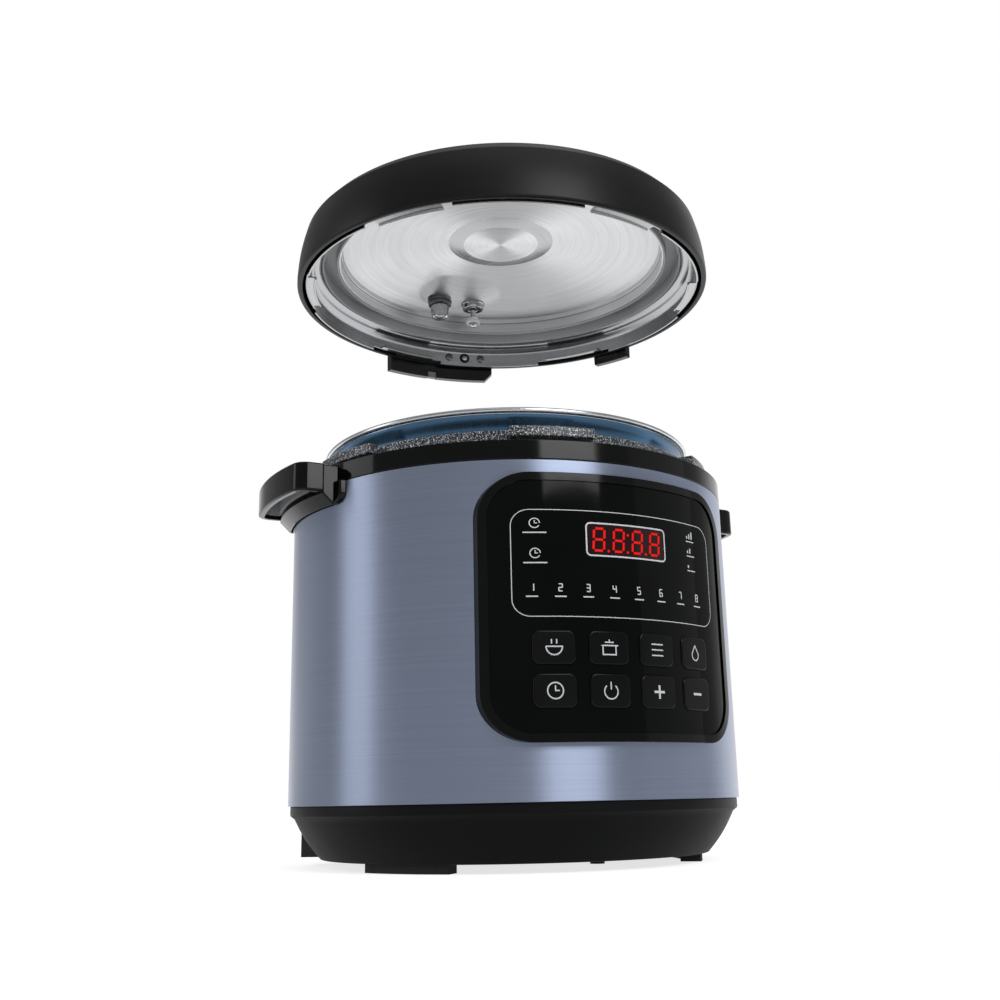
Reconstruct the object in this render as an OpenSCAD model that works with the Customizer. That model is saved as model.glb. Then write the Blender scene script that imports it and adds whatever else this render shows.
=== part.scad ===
// Six litre electric pressure cooker, millimetres, +Z up, standing on its feet at z = 0.
// The pot axis is the Z axis, the control panel faces -Y and the handles lie along +X and -X.
// Angles are in degrees, anticlockwise from +X seen from above. The lid is held above the pot.

/* [Steel band] */
// Outer radius of the steel housing band
body_r = 138; // [136:1:146]
// Sheet thickness of the band
band_wall = 0.8; // [0.5:0.1:1.5]
// Height of the band
band_h = 181.5; // [170:0.5:200]

/* [Base pan] */
// Height of the pan's flat underside above the table
pan_lift = 5; // [4:0.5:8]
// Height of the pan from its underside to the band
pan_h = 31; // [28:0.5:40]
// Radius of the flat underside
pan_foot_r = 118; // [110:1:124]
// Height of the upright lip at the top of the pan
pan_lip_h = 5.5; // [3:0.5:8]
// How far the lip stands back from the band
pan_lip_step = 1.4; // [0.5:0.1:3]
// How far the cone starts back from the lip
pan_cone_step = 2.6; // [1:0.1:5]
// Outward bulge of the cone
pan_bulge = 1.2; // [0.4:0.1:3]
// Wall thickness of the moulded pan
pan_wall = 2.5; // [2:0.1:4]
// Width of one cooling slot in the floor
vent_w = 3; // [2:0.5:5]
// Length of one cooling slot in the floor
vent_len = 26; // [15:1:40]
// Number of cooling slots in the floor
vent_count = 10; // [6:1:14]

/* [Feet] */
// Length of a foot pad along its arc
foot_len = 54; // [30:1:70]
// Radial width of a foot pad
foot_w = 12; // [8:0.5:16]
// Radius of the arc on which the feet lie
foot_r = 108; // [90:1:111]
// Depth that a foot pad is let into the pan
foot_seat = 1.2; // [0.5:0.1:1.8]

/* [Power inlet] */
// Direction of the inlet from the axis
inlet_angle = 143; // [125:1:150]
// Distance from the axis to the inlet's face
inlet_face_r = 131; // [129:0.5:135]
// Width of the inlet housing
inlet_w = 36; // [32:1:44]
// Height of the inlet housing
inlet_h = 27; // [25.5:0.5:29]
// Width of the socket
socket_w = 24; // [22:0.5:26]
// Height of the socket
socket_h = 16.5; // [15:0.5:18]
// Depth of the socket
socket_depth = 18; // [14:1:22]

/* [Top ring] */
// Height of the ring above the band
ring_h = 11.5; // [9:0.5:16]
// Wall thickness of the ring
ring_wall = 3; // [2:0.1:4]
// Edge radius at the top of the ring
ring_edge = 2.2; // [1:0.1:2.8]
// Depth of the ring's skirt inside the band
ring_skirt = 12; // [8:1:24]

/* [Handles] */
// Distance from the axis to the outer face of a handle
handle_r = 161; // [155:1:172]
// Half of the width of a handle
handle_half_w = 41; // [34:1:44]
// Height of the outer grip band
handle_h = 17; // [12:0.5:24]
// Wall thickness of the grip band
handle_wall = 3.6; // [2.5:0.1:5]
// Thickness of the handle's top
handle_top = 3; // [2:0.1:5]
// How far the bracket against the body reaches below the top of the band
bracket_drop = 13; // [8:0.5:20]
// Radial thickness of the bracket
bracket_wall = 3; // [2:0.1:4]
// How far the bracket's shoulder reaches out under the grip
bracket_reach = 9; // [6:0.5:10]
// Corner radius of the grip seen from above
handle_corner = 9; // [5:0.5:12]
// Thickness of the liner plate under the handle's top
liner_t = 1.6; // [1:0.1:3]

/* [Inner pot] */
// Outer radius of the inner pot
inner_pot_r = 112; // [104:0.5:113]
// Sheet thickness of the inner pot
inner_pot_wall = 0.9; // [0.6:0.1:1.5]
// Depth of the inner pot from its rim
inner_pot_depth = 162.5; // [150:0.5:166]
// How far the rim flares out beyond the pot's wall
rim_flare = 5.5; // [4:0.1:5.9]
// Radius of the rolled rim
rim_roll = 1.6; // [1.2:0.1:1.8]
// Height of the rim above the top ring
rim_rise = 25.5; // [24:0.5:30]
// Height of the flared neck
neck_h = 13; // [10:0.5:13.5]
// Radius of the corner between wall and floor
pot_corner = 12; // [8:1:18]

/* [Outer pot] */
// Radial gap between the inner and the outer pot
pot_gap = 1.5; // [1:0.1:2.5]
// Wall thickness of the outer pot
outer_pot_wall = 1.6; // [1.2:0.1:2.5]
// Radial width of the outer pot's flange
flange_w = 6.4; // [6:0.1:8]
// Height of the flange's top above the top ring
flange_rise = 10.7; // [10:0.1:11.5]
// Depth of the space under the inner pot for the heater
heater_space = 27; // [25:0.5:30]

/* [Bayonet] */
// How far a lug stands out of the flange
lug_reach = 9.2; // [8:0.1:9.8]
// Height of a pot lug
lug_h = 6.2; // [5:0.1:6.4]
// Number of lugs
lug_count = 6; // [6:1:6]
// Width of a pot lug in degrees
lug_span = 22; // [16:1:24]
// Direction of the first pot lug
lug_angle = -106; // [-107:1:-104]
// Width of a lid lug in degrees
lid_lug_span = 20; // [14:1:21]
// Direction of the first lid lug
lid_lug_angle = -83; // [-84:1:-81]
// Radial overlap of the lid lugs and the pot lugs
lug_overlap = 3; // [2:0.1:5]
// Radial clearance of the lid skirt round the pot lugs
skirt_gap = 2.7; // [1.5:0.1:3.2]

/* [Lid] */
// Height that the lid is held above its closed place
lid_lift = 145.5; // [100:0.5:160]
// Gap between the closed lid's edge and the top ring
lid_seat_gap = 1; // [0.6:0.1:1.4]
// Sheet thickness of the steel lid
lid_wall = 1.2; // [0.8:0.1:1.6]
// Height of the steel disc's edge above the lid's lower edge
disc_edge_h = 30.5; // [29.5:0.5:33]
// Rise of the steel disc from its edge to its centre
disc_rise = 12; // [8:0.5:13]
// Outer radius of the boss in the middle of the disc
boss_r = 36.5; // [30:0.5:42]
// Radius of the flat of that boss
boss_flat_r = 26; // [18:0.5:28]
// Depth of that boss
boss_drop = 1.8; // [1:0.1:3]
// Gap between the steel skirt and the cover's lip
cover_gap = 2.1; // [1:0.1:3]
// Thickness of the cover's lip
cover_lip = 3.4; // [2.6:0.1:5]
// Wall thickness of the cover
cover_wall = 2.6; // [2:0.1:3.4]
// Height of the cover's band
cover_band_h = 40.5; // [38:0.5:46]
// How far the band leans in at its top
cover_taper = 6; // [3:0.5:9]
// Height of the cover's crown above the band
cover_crown_h = 13; // [11:0.5:18]

/* [Lid grip] */
// Length of the grip bar
grip_len = 112; // [90:1:130]
// Width of the grip bar
grip_w = 34; // [26:1:40]
// Height of the finger gap under the bar
grip_gap = 22; // [18:1:28]
// Thickness of the bar
grip_t = 12; // [9:0.5:16]

/* [Seal] */
// Radial width of the sealing ring
seal_w = 11.6; // [10:0.1:11.8]
// Height of the sealing ring
seal_h = 11; // [10.4:0.1:11.4]
// Depth of the groove in its face, where the pot's rim presses
seal_groove = 8.8; // [8:0.1:9.2]
// How much higher the ring's inner lip ends than its outer lip
seal_lip_step = 3; // [2.5:0.1:5]

/* [Valves] */
// Distance from the axis to both valves
valve_r = 87; // [80:0.5:90]
// Direction of the release valve
release_angle = 95; // [92:0.5:98]
// Direction of the float valve
float_angle = 77; // [74:0.5:80]
// Depth that the valve posts hang below the disc
valve_drop = 15; // [12:0.5:18]
// Half of the distance between the round ends of the pad that carries the valves
pad_half = 13.5; // [11:0.5:15]
// Radius of the round ends of the pad
pad_r = 13; // [10:0.5:14]
// Radius of the release valve's knob
knob_r = 15; // [12:0.5:17]
// Radial running clearance of the valve stems
stem_fit = 0.05; // [0.02:0.01:0.1]

/* [Lid rear pieces] */
// First direction of the rear bracket
rear_from = 66; // [64:1:70]
// Last direction of the rear bracket
rear_to = 101; // [96:1:104]
// How far the rear bracket hangs below the lid's edge
rear_drop = 10; // [6:0.5:12]
// First direction of the small tab
tab_from = 19; // [19:1:22]
// Last direction of the small tab
tab_to = 31; // [28:1:34]
// How far the small tab hangs below the lid's edge
tab_drop = 6; // [4:0.5:10]
// Radial thickness of both
rear_wall = 5; // [3:0.1:6]
// Diameter of the lock pin
pin_d = 4; // [3:0.1:5]

/* [Control panel] */
// Width of the panel across its chord
panel_w = 161; // [150:1:170]
// Height of the panel
panel_h = 144; // [134:1:150]
// Height of the panel's centre above the table
panel_z = 137.4; // [130:0.1:142]
// Corner radius of the panel
panel_corner = 25; // [20:1:32]
// How far the bezel stands out from the band
bezel_proud = 4; // [3:0.1:6]
// Width of the bezel's rim
bezel_rim = 4.5; // [3:0.1:8]
// How far the overlay lies below the bezel's rim
overlay_step = 0.9; // [0.5:0.1:1.5]
// Thickness of the overlay
overlay_t = 2; // [1.5:0.1:3]
// Width of the display window
window_w = 51.6; // [40:0.1:56]
// Height of the display window
window_h = 18.5; // [14:0.1:22]
// Height of the window's centre above the panel's lower edge
window_z = 107.5; // [103:0.1:112]

/* [Buttons] */
// Width of a button
button_w = 23.4; // [16:0.1:25]
// Height of a button
button_h = 18; // [12:0.1:18.5]
// Corner radius of a button
button_corner = 4; // [2:0.1:6]
// How far a button stands out from the overlay
button_proud = 0.9; // [0.4:0.1:2]
// Angle between two columns of buttons
button_pitch = 12.4; // [12:0.1:13]
// Height of the upper row above the panel's lower edge
button_row_z = 48.8; // [43:0.1:52]
// Distance between the two rows
button_rows_gap = 22.5; // [21:0.1:25]
// Clearance round a button
button_gap = 0.35; // [0.2:0.05:0.6]

/* [Inside] */
// Radius of the heating plate
heater_r = 88; // [80:1:95]
// Thickness of the heating plate
heater_t = 14; // [10:0.5:18]
// Radius of the heat shield round the outer pot
shield_r = 127; // [124:0.5:129]
// Sheet thickness of the heat shield
shield_wall = 0.7; // [0.5:0.1:1.2]
// Radius of the thermal sensor's cap
sensor_r = 14; // [10:0.5:16]
// Wire radius of the sensor's spring
spring_wire = 0.6; // [0.4:0.1:0.8]
// Number of turns of the sensor's spring
spring_turns = 5; // [4:1:6]

/* [Condensation cup] */
// Width of the cup
cup_w = 58; // [48:1:64]
// Height of the cup
cup_h = 62; // [50:1:70]
// How far the cup stands out from the band
cup_proud = 10; // [9:0.5:10]
// Wall thickness of the cup
cup_wall = 1.4; // [1.2:0.1:1.6]

/* [Hidden] */
$fn = 96;

// Clearances: pieces that only rest side by side, pieces that move past each other
snug = 0.1;
free = 0.35;
eps = 0.01;

// Heights above the table
seam_z = pan_lift + pan_h;
ring_z = seam_z + band_h;
ring_top = ring_z + ring_h;
rim_top = ring_top + rim_rise;
flange_top = ring_top + flange_rise;
pot_bottom = rim_top - inner_pot_depth;
plate_top = pot_bottom - 0.3;
outer_floor = pot_bottom - heater_space;
outer_bottom = outer_floor - outer_pot_wall;
shield_lip_z = outer_bottom - shield_wall;
pan_floor = pan_lift + pan_wall;
lid_closed_z = ring_top + lid_seat_gap;
lid_z = lid_closed_z + lid_lift;

// Radii of the pots, the bayonet and the lid
band_in_r = body_r - band_wall;
pan_lip_r = body_r - pan_lip_step;
pan_cone_r = pan_lip_r - pan_cone_step;
rim_r = inner_pot_r + rim_flare;
pot_in_r = inner_pot_r + pot_gap;
pot_out_r = pot_in_r + outer_pot_wall;
flange_r = pot_out_r + flange_w;
lug_r = flange_r + lug_reach;
lug_step = 0.1;
lid_lug_r = lug_r - lug_overlap;
skirt_in_r = lug_r + skirt_gap;
skirt_r = skirt_in_r + lid_wall;
lip_in_r = skirt_r + cover_gap;
cover_r = lip_in_r + cover_lip;

// Lid heights above its own lower edge
seal_face_h = rim_top - lid_closed_z + 0.3;
seal_low_h = seal_face_h - seal_groove;
seal_top_h = seal_low_h + seal_h;
groove_h = seal_top_h + snug;
seal_out_r = rim_r + seal_w / 2 + 0.7;
seal_in_r = seal_out_r - seal_w;
rack_wall = 0.8;
disc_r = seal_in_r - rack_wall - 1.6;
ledge_h = 12;
skirt_low_h = -0.5;
lug_shelf_h = 3;
crown_top_h = cover_band_h + cover_crown_h;

// Panel radii, from the band outwards
face_r = body_r + bezel_proud;
overlay_r = face_r - overlay_step;
overlay_in_r = overlay_r - overlay_t;
tray_r = overlay_in_r - 0.05;
tray_wall = 2.2;
tray_in_r = tray_r - tray_wall;
opening_margin = 5;
board_y = 123;
board_t = 1.6;
switch_h = 3.5;
switch_w = 6;
board_w = 96;
board_h = 110;
board_low_z = panel_z - 57.4;
board_post_x = 40;
board_post_r = 3;
board_post_in = 11;
button_travel = 0.6;
button_flange = 1.5;
button_flange_w = 1.2;
stem_r = 2;

// Heights of the window and of the upper row of buttons above the table
panel_low_z = panel_z - panel_h / 2;
window_mid_z = panel_low_z + window_z;
row_z = panel_low_z + button_row_z;

button_cols = [-1.5, -0.5, 0.5, 1.5];

// Curves ---------------------------------------------------------------------

function arc(cx, cy, r, a0, a1, n) =
    [for (i = [0:n]) let (a = a0 + (a1 - a0) * i / n) [cx + r * cos(a), cy + r * sin(a)]];

// Points from p to q along a circular arc that bulges to the right of the way by `bulge`
function bow(p, q, bulge, n) =
    let (chord = norm(q - p), r = (chord * chord / 4 + bulge * bulge) / (2 * bulge),
         dir = (q - p) / chord, side = [dir[1], -dir[0]], mid = (p + q) / 2,
         c = mid - side * (r - bulge), half = asin(chord / 2 / r),
         start = atan2(side[1], side[0]) - half)
    [for (i = [0:n]) let (a = start + 2 * half * i / n) c + r * [cos(a), sin(a)]];

// Height of the steel disc and of the cover's crown at a radius, in the lid's own heights
function disc_h(r) = disc_edge_h + disc_rise * (1 - pow(r / disc_r, 2));
function crown_h(r) = crown_top_h - cover_crown_h * pow(r / (cover_r - cover_taper), 2);

// Shapes ---------------------------------------------------------------------

module ring(r_out, r_in, h) {
    difference() {
        cylinder(r = r_out, h = h);
        translate([0, 0, -1]) cylinder(r = r_in, h = h + 2);
    }
}

module sector(r_in, r_out, from, to, h) {
    rotate([0, 0, from]) rotate_extrude(angle = to - from)
        translate([r_in, 0]) square([r_out - r_in, h]);
}

module rounded(w, h, r) {
    square([w - 2 * r, h], center = true);
    square([w, h - 2 * r], center = true);
    for (x = [-1, 1], y = [-1, 1])
        translate([x * (w / 2 - r), y * (h / 2 - r)]) circle(r = r);
}

// Turns a flat outline, x across and y up, into a prism that runs from the axis to -Y
module toward_front(depth = 200) {
    rotate([90, 0, 0]) linear_extrude(depth) children();
}

module on_radius(angle, r) {
    rotate([0, 0, angle]) translate([r, 0, 0]) children();
}

module screw(head_r, head_h, shank_r, len) {
    cylinder(r = head_r, h = head_h);
    translate([0, 0, head_h - eps]) cylinder(r = shank_r, h = len + eps);
}

module lift_lid() {
    translate([0, 0, lid_z]) children();
}

// Base -----------------------------------------------------------------------

screw_at = [30, 150, 270];
screw_r = 96;
screw_head_r = 4;
screw_head_h = 2.2;
screw_shank_r = 2;
screw_len = 12;
post_r = 6;
vent_from = 56;
vent_turn = 18;

function pan_outline(inset) =
    let (low = [pan_foot_r - inset, pan_lift + inset],
         high = [pan_cone_r - inset, seam_z - pan_lip_h - 2])
    bow(low, high, pan_bulge, 8);

module base_pan() {
    color("#17191b") difference() {
        rotate_extrude() polygon(concat(
            [[0, pan_lift]], pan_outline(0),
            [[pan_lip_r, seam_z - pan_lip_h], [pan_lip_r, seam_z],
             [pan_lip_r - pan_wall, seam_z], [pan_lip_r - pan_wall, seam_z - pan_lip_h]],
            [for (i = [8:-1:0]) pan_outline(pan_wall)[i]], [[0, pan_floor]]));
        foot_pads(foot_seat, 0.15);
        for (i = [0:vent_count - 1])
            on_radius(i * 360 / vent_count + vent_turn, vent_from) translate([0, -vent_w / 2, 0])
                cube([vent_len, vent_w, pan_floor + 1]);
        for (a = screw_at)
            on_radius(a, screw_r) translate([0, 0, -1])
                cylinder(r = screw_shank_r + 2 * snug, h = pan_floor + 2);
        inlet_block(0.15);
    }
}

module foot_pads(depth, gap) {
    for (a = [-150, -30, 90])
        let (half = foot_len / foot_r * 90 / PI)
        translate([0, 0, gap ? pan_lift - 1 : 0])
            sector(foot_r - foot_w / 2 - gap, foot_r + foot_w / 2 + gap,
                   a - half - gap / 2, a + half + gap / 2, gap ? depth + 1 : pan_lift + depth);
}

module feet() {
    color("#101112") foot_pads(foot_seat, 0);
}

module inlet_block(gap) {
    inlet_in_r = inlet_face_r - socket_depth - 5;
    on_radius(inlet_angle, inlet_in_r - gap)
        translate([0, -inlet_w / 2 - gap, pan_lift + 0.5 - gap])
            cube([inlet_face_r - inlet_in_r + gap + (gap ? 30 : 0), inlet_w + 2 * gap,
                  inlet_h + 2 * gap]);
}

socket_z = pan_lift + 0.5 + inlet_h / 2;

module power_inlet() {
    color("#0d0e0f") difference() {
        inlet_block(0);
        on_radius(inlet_angle, inlet_face_r - socket_depth) translate([0, 0, socket_z])
            rotate([0, 90, 0]) linear_extrude(socket_depth + 1)
                rounded(socket_h, socket_w, 4);
        inlet_pins_at(snug);
    }
}

module inlet_pins_at(gap) {
    for (p = [[0, 2.5], [-7, -2], [7, -2]])
        on_radius(inlet_angle, inlet_face_r - socket_depth - 8)
            translate([0, p[0] - 1 - gap, socket_z + p[1] - 2 - gap])
                cube([socket_depth + 4, 2 + 2 * gap, 4 + 2 * gap]);
}

module inlet_pins() {
    color("#c8b98a") inlet_pins_at(0);
}

module pan_screws() {
    color("#8d9196") for (a = screw_at)
        on_radius(a, screw_r) translate([0, 0, pan_lift - screw_head_h])
            screw(screw_head_r, screw_head_h, screw_shank_r, screw_len);
}

module chassis_posts() {
    color("#9fa3a8") for (a = screw_at)
        on_radius(a, screw_r) translate([0, 0, pan_floor]) difference() {
            cylinder(r = post_r, h = shield_lip_z - pan_floor);
            translate([0, 0, -1])
                cylinder(r = screw_shank_r + snug, h = screw_len - pan_wall + 4.5);
        }
}

module housing_band() {
    color("#7d869a") difference() {
        translate([0, 0, seam_z]) ring(body_r, band_in_r, band_h);
        translate([0, 0, panel_z]) toward_front()
            rounded(panel_w - 2 * opening_margin, panel_h - 2 * opening_margin,
                    panel_corner - opening_margin);
    }
}

module top_ring() {
    ring_in_r = pot_out_r + 0.5;
    skirt_out_r = band_in_r - snug;
    color("#0b0c0d") rotate_extrude() polygon(concat(
        [[ring_in_r, ring_top - ring_wall], [skirt_out_r - ring_wall, ring_top - ring_wall],
         [skirt_out_r - ring_wall, ring_z - ring_skirt], [skirt_out_r, ring_z - ring_skirt],
         [skirt_out_r, ring_z], [body_r, ring_z]],
        arc(body_r - ring_edge, ring_top - ring_edge, ring_edge, 0, 90, 5),
        [[ring_in_r, ring_top]]));
}

// Handles --------------------------------------------------------------------

handle_z = ring_top - 0.6;
bracket_in_r = body_r + snug;
bracket_half = asin((handle_half_w + 6) / body_r);
// The shoulder leaves at least this share of the room inside the grip to the fingers
finger_share = 0.4;
shoulder_r = bracket_in_r
    + min(bracket_reach, (1 - finger_share) * (handle_r - handle_wall - bracket_in_r));

// Plan of one handle, along +X: straight sides, then an arc round the pot's axis
module handle_plan(inset) {
    r = handle_r - inset;
    w = handle_half_w - inset;
    c = max(handle_corner - inset, 1.5);
    corner_x = sqrt(pow(r - c, 2) - pow(w - c, 2));
    corner_a = atan2(w - c, corner_x);
    polygon(concat(
        [[bracket_in_r * 0.9, -w]],
        [for (p = arc(corner_x, -(w - c), c, -90, -corner_a, 6)) p],
        [for (p = arc(0, 0, r, -corner_a + 2, corner_a - 2, 10)) p],
        [for (p = arc(corner_x, w - c, c, corner_a, 90, 6)) p],
        [[bracket_in_r * 0.9, w]]));
}

module handle() {
    low = handle_z - handle_h;
    foot_z = ring_z - bracket_drop;
    color("#0c0d0e") {
        difference() {
            translate([0, 0, low]) linear_extrude(handle_h) handle_plan(0);
            translate([0, 0, low - 1]) cylinder(r = shoulder_r - 1, h = handle_h + 2);
            translate([0, 0, low - 1]) linear_extrude(handle_h - handle_top + 1)
                difference() {
                    handle_plan(handle_wall);
                    circle(r = shoulder_r);
                }
        }
        intersection() {
            rotate([0, 0, -bracket_half]) rotate_extrude(angle = 2 * bracket_half) polygon([
                [bracket_in_r, foot_z], [bracket_in_r + bracket_wall, foot_z],
                [shoulder_r, foot_z + max(bracket_reach - bracket_wall, 1)],
                [shoulder_r, handle_z - 1], [bracket_in_r, handle_z - 1]]);
            translate([0, 0, foot_z - 1]) linear_extrude(100) handle_plan(0);
        }
        translate([0, 0, foot_z])
            sector(bracket_in_r, bracket_in_r + bracket_wall, -bracket_half, bracket_half,
                   bracket_drop);
    }
}

module handle_liner() {
    color("#6f7376") translate([0, 0, handle_z - handle_top - liner_t])
        linear_extrude(liner_t) difference() {
            handle_plan(handle_wall + snug);
            circle(r = shoulder_r + snug);
        }
}

module right_handle() { handle(); }
module left_handle() { rotate([0, 0, 180]) handle(); }
module right_handle_liner() { handle_liner(); }
module left_handle_liner() { rotate([0, 0, 180]) handle_liner(); }

// Pots and heater ------------------------------------------------------------

terminal_angle = 60;
terminal_at_r = 66;
terminal_half = 9;
terminal_r = 3;

module outer_pot() {
    w = outer_pot_wall;
    c = pot_corner;
    color("#3c3e40") difference() {
        union() {
            rotate_extrude() polygon(concat(
                [[0, outer_bottom]],
                arc(pot_out_r - c, outer_bottom + c, c, -90, 0, 6),
                [[pot_out_r, flange_top - w], [flange_r - w, flange_top - w],
                 [flange_r - w, ring_top], [flange_r, ring_top], [flange_r, flange_top],
                 [pot_in_r, flange_top]],
                arc(pot_in_r - c + w, outer_floor + c - w, c - w, 0, -90, 6),
                [[0, outer_floor]]));
            translate([0, 0, flange_top - lug_h - lug_step])
                for (i = [0:lug_count - 1])
                    let (a = lug_angle + i * 360 / lug_count)
                    sector(flange_r - w / 2, lug_r, a - lug_span / 2, a + lug_span / 2, lug_h);
        }
        translate([0, 0, outer_bottom - 1]) cylinder(r = 12, h = w + 2);
        for (y = [-1, 1]) on_radius(terminal_angle, terminal_at_r)
            translate([0, y * terminal_half, outer_bottom - 1])
                cylinder(r = terminal_r + 1.5, h = w + 2);
    }
}

module inner_pot() {
    w = inner_pot_wall;
    c = pot_corner;
    floor_t = 2.4;
    neck_z = rim_top - neck_h;
    roll_z = rim_top - rim_roll;
    steps = 10;
    flare = [for (i = [0:steps]) let (t = i / steps)
        [inner_pot_r + (rim_flare - rim_roll * 0.6) * (1 - cos(180 * t)) / 2,
         neck_z + (roll_z - neck_z) * t]];
    color("#c9cdd2") {
        rotate_extrude() polygon(concat(
            [[0, pot_bottom]],
            arc(inner_pot_r - c, pot_bottom + c, c, -90, 0, 6),
            flare,
            [for (i = [steps:-1:0]) flare[i] - [w, 0]],
            arc(inner_pot_r - c, pot_bottom + c + floor_t - w, c - w, 0, -90, 6),
            [[0, pot_bottom + floor_t]]));
        translate([0, 0, roll_z]) rotate_extrude() translate([rim_r, 0]) circle(r = rim_roll);
    }
}

module heat_shield() {
    color("#b4b8bb") translate([0, 0, shield_lip_z]) {
        ring(shield_r_used, shield_r_used - shield_wall, ring_z - shield_lip_z - 20);
        ring(shield_r_used - eps, screw_r - post_r - 2, shield_wall);
    }
}

shield_r_used = min(shield_r, board_y - board_t - 2);

module heating_plate() {
    plate_z = plate_top - heater_t;
    color("#b9bcbe") difference() {
        union() {
            translate([0, 0, plate_z]) cylinder(r = heater_r - 2, h = 2.01);
            translate([0, 0, plate_z + 2]) cylinder(r = heater_r, h = heater_t - 2);
            for (a = [0, 120, 240])
                on_radius(a + 30, 66) translate([0, 0, outer_floor])
                    cylinder(r = 6, h = plate_z - outer_floor + eps);
        }
        translate([0, 0, plate_z - 1]) cylinder(r = sensor_r + 1, h = heater_t + 2);
        for (r = [34, 50, 68])
            translate([0, 0, plate_top - 0.6]) ring(r + 1, r - 1, 2);
    }
}

module heater_terminals() {
    below = 14;
    color("#d8d2c0") for (y = [-1, 1]) on_radius(terminal_angle, terminal_at_r)
        translate([0, y * terminal_half, outer_bottom - below])
            cylinder(r = terminal_r, h = plate_top - heater_t - outer_bottom + below);
}

sensor_cap_h = 12.7;
bracket_t = 1.5;

module sensor_bracket() {
    color("#a5a9ad") difference() {
        translate([0, 0, outer_floor]) {
            cylinder(r = 20, h = bracket_t);
            translate([0, 0, -12]) cylinder(r = 7, h = 12.01);
        }
        translate([0, 0, outer_floor - 13]) cylinder(r = 4 + stem_fit, h = 20);
    }
}

module thermal_sensor() {
    cap_z = plate_top - sensor_cap_h;
    color("#cfd3d6") difference() {
        union() {
            translate([0, 0, cap_z]) cylinder(r = sensor_r, h = sensor_cap_h - 1);
            translate([0, 0, plate_top - 1 - eps]) cylinder(r = sensor_r - 1, h = 1 + eps);
            translate([0, 0, outer_floor - 14]) cylinder(r = 4, h = cap_z - outer_floor + 16);
        }
        translate([0, 0, cap_z - 1]) ring(sensor_r - 1, 4, sensor_cap_h - 1);
    }
}

// Wire of round section wound on a helix, closed at both ends
module sensor_spring() {
    mean_r = (sensor_r - 1 + 4) / 2;
    z0 = outer_floor + bracket_t + spring_wire;
    z1 = plate_top - 2 - spring_wire;
    rings = spring_turns * 16;
    sides = 8;
    points = [for (i = [0:rings], j = [0:sides - 1])
        let (t = 360 * spring_turns * i / rings, s = 360 * j / sides,
             r = mean_r + spring_wire * cos(s))
        [r * cos(t), r * sin(t), z0 + (z1 - z0) * i / rings + spring_wire * sin(s)]];
    walls = [for (i = [0:rings - 1], j = [0:sides - 1])
        let (k = (j + 1) % sides)
        [i * sides + j, i * sides + k, (i + 1) * sides + k, (i + 1) * sides + j]];
    color("#8f9499") polyhedron(points, concat(walls,
        [[for (j = [sides - 1:-1:0]) j], [for (j = [0:sides - 1]) rings * sides + j]]), 4);
}

module pressure_switch() {
    color("#e6e0d0") translate([-52, 14, outer_bottom - 18]) {
        cube([30, 18, 18]);
        translate([8, 9, -6]) cylinder(r = 1.5, h = 6.01);
        translate([22, 9, -6]) cylinder(r = 1.5, h = 6.01);
    }
}

module thermal_fuse() {
    color("#d9dcdf") translate([20, -46, outer_bottom - 5]) {
        rotate([0, 90, 0]) cylinder(r = 2.5, h = 22);
        translate([6, -4, 0]) cube([10, 8, 5]);
    }
}

power_board_w = 96;
power_board_len = 64;
power_board_y = -20;
power_post_h = 8;
power_post_in = 6;

module at_power_posts() {
    for (x = [-1, 1], y = [-1, 1])
        translate([x * (power_board_w / 2 - power_post_in),
                   power_board_y + y * (power_board_len / 2 - power_post_in), pan_floor])
            children();
}

module power_board() {
    color("#2f6b3f") difference() {
        union() {
            translate([-power_board_w / 2, power_board_y - power_board_len / 2,
                       pan_floor + power_post_h])
                cube([power_board_w, power_board_len, board_t]);
            at_power_posts() cylinder(r = 3, h = power_post_h + eps);
        }
        at_power_posts() translate([0, 0, -1]) cylinder(r = 1.2, h = power_post_h + 4);
    }
}

module power_parts() {
    z = pan_floor + power_post_h + board_t;
    color("#3a5d8f") translate([0, 0, z]) {
        translate([-34, -44, 0]) cube([19, 15, 15]);
        translate([-4, -42, 0]) cube([24, 20, 18]);
        translate([34, -24, 0]) cylinder(r = 6.5, h = 20);
        translate([-26, -10, 0]) cylinder(r = 5, h = 12);
        translate([2, -12, 0]) cube([18, 6, 12]);
    }
}

// Control panel --------------------------------------------------------------

module panel_shell(r_in, r_out, w, h, corner) {
    intersection() {
        translate([0, 0, panel_z - panel_h]) ring(r_out, r_in, 2 * panel_h);
        translate([0, 0, panel_z]) toward_front() rounded(w, h, corner);
    }
}

module window_prism(margin, depth = 200) {
    translate([0, 0, window_mid_z]) toward_front(depth)
        rounded(window_w + 2 * margin, window_h + 2 * margin, 3);
}

// Runs its children once for each button, with $row and $col set
module each_button() {
    for ($row = [0, 1], $col = [0:3]) children();
}

module at_button(row, col) {
    rotate([0, 0, button_cols[col] * button_pitch])
        translate([0, 0, row_z - row * button_rows_gap]) children();
}

module button_prism(margin) {
    toward_front() rounded(button_w + 2 * margin, button_h + 2 * margin,
                           button_corner + margin);
}

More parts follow.
